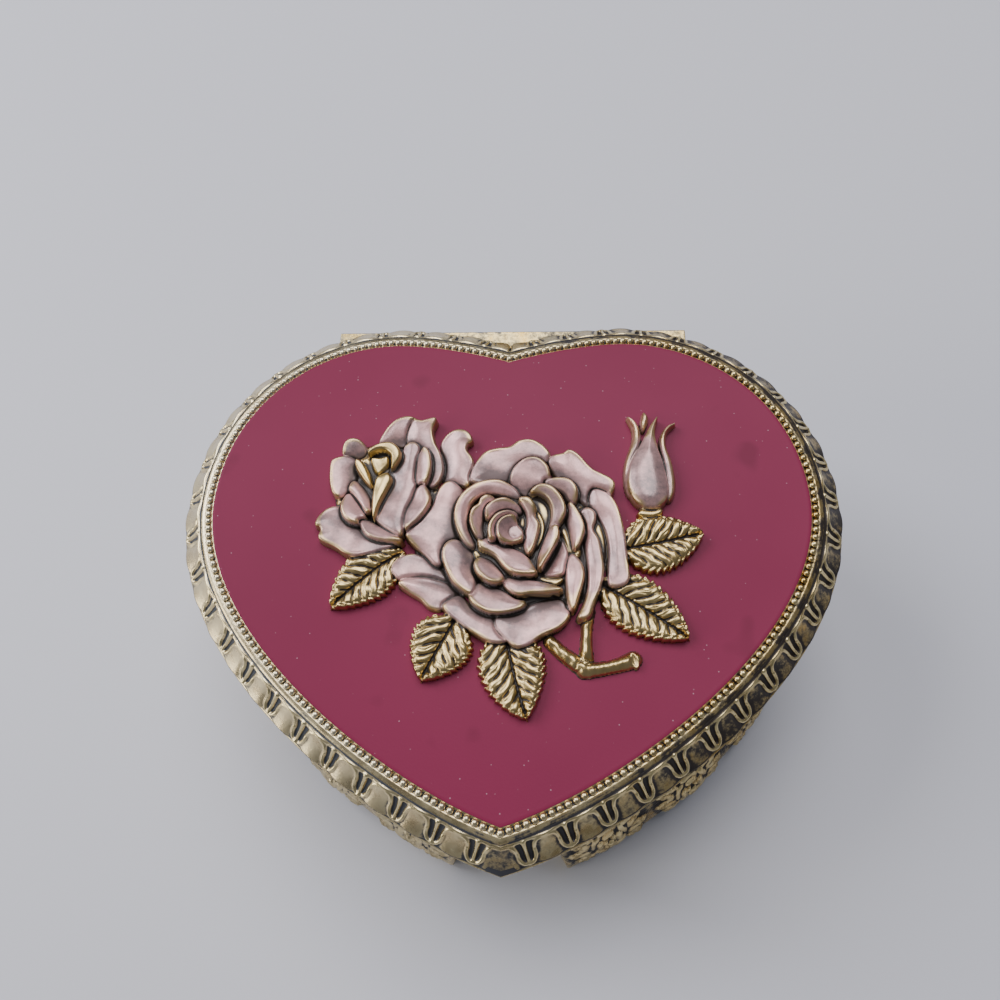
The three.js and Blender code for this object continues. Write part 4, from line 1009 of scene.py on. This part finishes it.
# Pearl paint over gilt: a soft pink with a pearly sheen, dark patina wiped into the hollows
# with a painted shadow round the foot of the relief, grey smears with painted shade in the broad hollows,
# and bare metal along the rubbed edges
PEARL, SHADED_PEARL, SMUDGE_AND_SHADE, LEAF_GOLD = "#cb9c97", "#b28783", "#5b5453", "#a98b52"
spray_finish, tree = new_material("pearl paint over antique gilt")
coords = add_node(tree, "ShaderNodeTexCoord").outputs["Object"]
hollow = add_node(tree, "ShaderNodeAttribute", {"attribute_name": "hollow"}).outputs["Fac"]
paint = add_node(tree, "ShaderNodeAttribute", {"attribute_name": "paint"}).outputs["Fac"]
clouds = add_node(tree, "ShaderNodeTexNoise", {"Scale": per_mm(2.6), "Detail": 5.0, "Roughness": 0.62},
                  {"Vector": coords}).outputs["Fac"]
specks = add_node(tree, "ShaderNodeTexNoise", {"Scale": per_mm(0.6), "Detail": 3.0, "Roughness": 0.7},
                  {"Vector": coords}).outputs["Fac"]
gold = add_node(tree, "ShaderNodeMix", {"data_type": "RGBA", 6: linear(LEAF_GOLD), 7: linear("#d2bd88")},
                {0: clouds}).outputs[2]
smear = add_node(tree, "ShaderNodeMapRange", {"From Min": 0.5, "From Max": 0.75, "To Max": 0.7},
                 {"Value": clouds})
pearl = add_node(tree, "ShaderNodeMix", {"data_type": "RGBA", 6: linear(PEARL), 7: linear(SHADED_PEARL)},
                 {0: smear.outputs[0]}).outputs[2]
# The paint is greyed by painted shade in the broad hollows where petals overlap, and by grey smears and
# specks from noise
shade = add_node(tree, "ShaderNodeAttribute", {"attribute_name": "shade"}).outputs["Fac"]
smears = add_node(tree, "ShaderNodeTexNoise", {"Scale": per_mm(6), "Detail": 4.0},
                  {"Vector": coords}).outputs["Fac"]
shaded = add_node(tree, "ShaderNodeMath", {"operation": "MULTIPLY_ADD", 1: 1.7, 2: -0.98},
                  {0: smears}).outputs[0]
shaded = add_node(tree, "ShaderNodeMath", {"operation": "MULTIPLY_ADD", 1: 0.7},
                  {0: specks, 2: shaded}).outputs[0]
shaded = add_node(tree, "ShaderNodeMath", {"operation": "ADD"}, {0: shade, 1: shaded}).outputs[0]
shaded = add_node(tree, "ShaderNodeMapRange", {"From Min": -0.05, "From Max": 0.6, "To Max": 0.85},
                  {"Value": shaded}).outputs[0]
pearl = add_node(tree, "ShaderNodeMix", {"data_type": "RGBA", 7: linear(SMUDGE_AND_SHADE)},
                 {0: shaded, 6: pearl}).outputs[2]
worn = add_node(tree, "ShaderNodeMapRange", {"From Min": -0.45, "From Max": -0.9, "To Max": 1.4},
                {"Value": hollow}).outputs[0]
worn = add_node(tree, "ShaderNodeMath", {"operation": "MULTIPLY"}, {0: worn, 1: specks}).outputs[0]
kept = add_node(tree, "ShaderNodeMath", {"operation": "SUBTRACT", "use_clamp": True},
                {0: paint, 1: worn}).outputs[0]
colour = add_node(tree, "ShaderNodeMix", {"data_type": "RGBA"}, {0: kept, 6: gold, 7: pearl}).outputs[2]
stray = add_node(tree, "ShaderNodeMath", {"operation": "MULTIPLY_ADD", 1: 0.45, 2: -0.22},
                 {0: clouds}).outputs[0]
reach = add_node(tree, "ShaderNodeMath", {"operation": "ADD"}, {0: hollow, 1: stray}).outputs[0]
# Dark patina in the hollows, and painted shadow round the foot of the relief where it meets the enamel
dark = add_node(tree, "ShaderNodeMapRange",
                {"From Min": 0.2, "From Max": 0.6, "interpolation_type": "SMOOTHSTEP"},
                {"Value": reach}).outputs[0]
colour = add_node(tree, "ShaderNodeMix", {"data_type": "RGBA", 7: linear(PATINA)},
                  {0: dark, 6: colour}).outputs[2]
metallic = add_node(tree, "ShaderNodeMapRange", {"To Min": 1.0, "To Max": 0.35}, {"Value": kept}).outputs[0]
fading = add_node(tree, "ShaderNodeMapRange", {"To Min": 1.0, "To Max": 0.3}, {"Value": dark}).outputs[0]
metallic = add_node(tree, "ShaderNodeMath", {"operation": "MULTIPLY"}, {0: metallic, 1: fading}).outputs[0]
rough = add_node(tree, "ShaderNodeMapRange", {"To Min": 0.22, "To Max": 0.4}, {"Value": clouds}).outputs[0]
rough = add_node(tree, "ShaderNodeMath", {"operation": "MULTIPLY_ADD", 1: 0.2},
                 {0: dark, 2: rough}).outputs[0]
bump = add_node(tree, "ShaderNodeBump", {"Strength": 0.2, "Distance": 0.0001}, {"Height": specks})
shader = add_node(tree, "ShaderNodeBsdfPrincipled", {"Coat Weight": 0.3, "Coat Roughness": 0.28}, {
    "Base Color": colour, "Metallic": metallic, "Roughness": rough, "Normal": bump.outputs[0]})
add_node(tree, "ShaderNodeOutputMaterial", (), {"Surface": shader.outputs[0]})
finish_piece(spray_mesh, "rose_spray", "lid", spray_finish)

# The ledge behind the lid: a flat tongue with square ends, cast with the rim. It fills the
# cleft of the heart, and the lid's one knuckle hangs from it between those of the box.
LEDGE_THICKNESS = 1.5
LEDGE_REACH = 0.4
KNUCKLE_GAP = 0.3
WEB_DEPTH = 2.3
ledge = back_plate(-half_hinge, half_hinge, 5.0, hinge_place.y + LEDGE_REACH, SEAM_TOP + 0.02,
                   SEAM_TOP + LEDGE_THICKNESS, 0.18)
finish_piece(ledge, "lid_ledge", "lid", hinge_metal, shaded=False)
lid_barrel = knuckle(-half_knuckle + KNUCKLE_GAP, half_knuckle - KNUCKLE_GAP)
finish_piece(lid_barrel, "lid_knuckle", "lid", hinge_metal)
web = bmesh.new()
bmesh.ops.create_cube(web, size=1)
web_low, web_high = hinge_place.z + 1.1, SEAM_TOP + 0.3
web_size = Vector((LID_KNUCKLE_WIDTH - 2 * KNUCKLE_GAP, WEB_DEPTH, web_high - web_low))
web_middle = Vector((0, hinge_place.y - 0.8, (web_low + web_high) / 2))
bmesh.ops.scale(web, verts=web.verts, vec=web_size * MM)
bmesh.ops.translate(web, verts=web.verts, vec=web_middle * MM)
finish_piece(web, "knuckle_web", "lid", hinge_metal, shaded=False)
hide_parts("lid")

# The setting: a plain pale table, two soft window lights from the left and one overhead, and
# the camera above the tip of the heart, as in the photograph.
floor = bmesh.new()
bmesh.ops.create_grid(floor, x_segments=1, y_segments=1, size=1.5)
floor_mesh = bpy.data.meshes.new("table_top")
floor.to_mesh(floor_mesh)
floor.free()
floor_material, tree = new_material("pale matte table")
shader = add_node(tree, "ShaderNodeBsdfPrincipled", {"Base Color": linear("#c5c5cb"), "Roughness": 0.6})
add_node(tree, "ShaderNodeOutputMaterial", (), {"Surface": shader.outputs[0]})
floor_mesh.materials.append(floor_material)
table = bpy.data.objects.new("table_top", floor_mesh)
bpy.context.scene.collection.objects.link(table)

world = bpy.data.worlds.new("soft room")
world.use_nodes = True
world.node_tree.nodes["Background"].inputs["Color"].default_value = linear("#ccd2dd")
world.node_tree.nodes["Background"].inputs["Strength"].default_value = 0.32
bpy.context.scene.world = world

# Each lamp: its name, its place and its size in metres, its power and its colour
for name, place, size, power, colour in (
        ("window", (-1.0, 0.55, 0.95), 0.75, 16.0, "#f6f7ff"),
        ("low_window", (-1.05, -0.3, 0.38), 0.6, 6.0, "#fffaf0"),
        ("ceiling", (0.1, 0.75, 1.6), 1.1, 25.0, "#fbfaff")):
    lamp = bpy.data.lights.new(name, "AREA")
    lamp.energy = power
    lamp.size = size
    lamp.color = linear(colour)[:3]
    lamp_object = bpy.data.objects.new(name, lamp)
    lamp_object.location = place
    lamp_object.rotation_euler = (Vector((0, 0, 0.03)) - Vector(place)).to_track_quat("-Z", "Y").to_euler()
    bpy.context.scene.collection.objects.link(lamp_object)

ELEVATION, ROLL, YAW = (math.radians(angle) for angle in (66.136, 6.573, -7.215))
FOCAL_PIXELS, PHOTO_WIDTH, SENSOR_WIDTH = 800.0, 1000.0, 36.0
up = Vector((-math.sin(ROLL) * math.cos(ELEVATION), -math.cos(ROLL) * math.cos(ELEVATION),
             -math.sin(ELEVATION)))
forward = (Vector((0, 0, 1)) - up * up.z).normalized()
across = forward.cross(up)
x_axis = across * math.cos(YAW) + forward * math.sin(YAW)
y_axis = forward * math.cos(YAW) - across * math.sin(YAW)
camera = bpy.data.objects.new("camera", bpy.data.cameras.new("camera"))
camera.data.sensor_width = SENSOR_WIDTH
camera.data.lens = FOCAL_PIXELS / PHOTO_WIDTH * SENSOR_WIDTH
camera.data.clip_start = 0.005
rows = [(axis.x, -axis.y, -axis.z) for axis in (x_axis, y_axis, up)]
camera.rotation_euler = Matrix(rows).to_euler()
camera.location = (Vector(SEEN_FROM) + Vector((0, HEART_Y, PANEL_TOP))) * MM
bpy.context.scene.collection.objects.link(camera)
bpy.context.scene.camera = camera
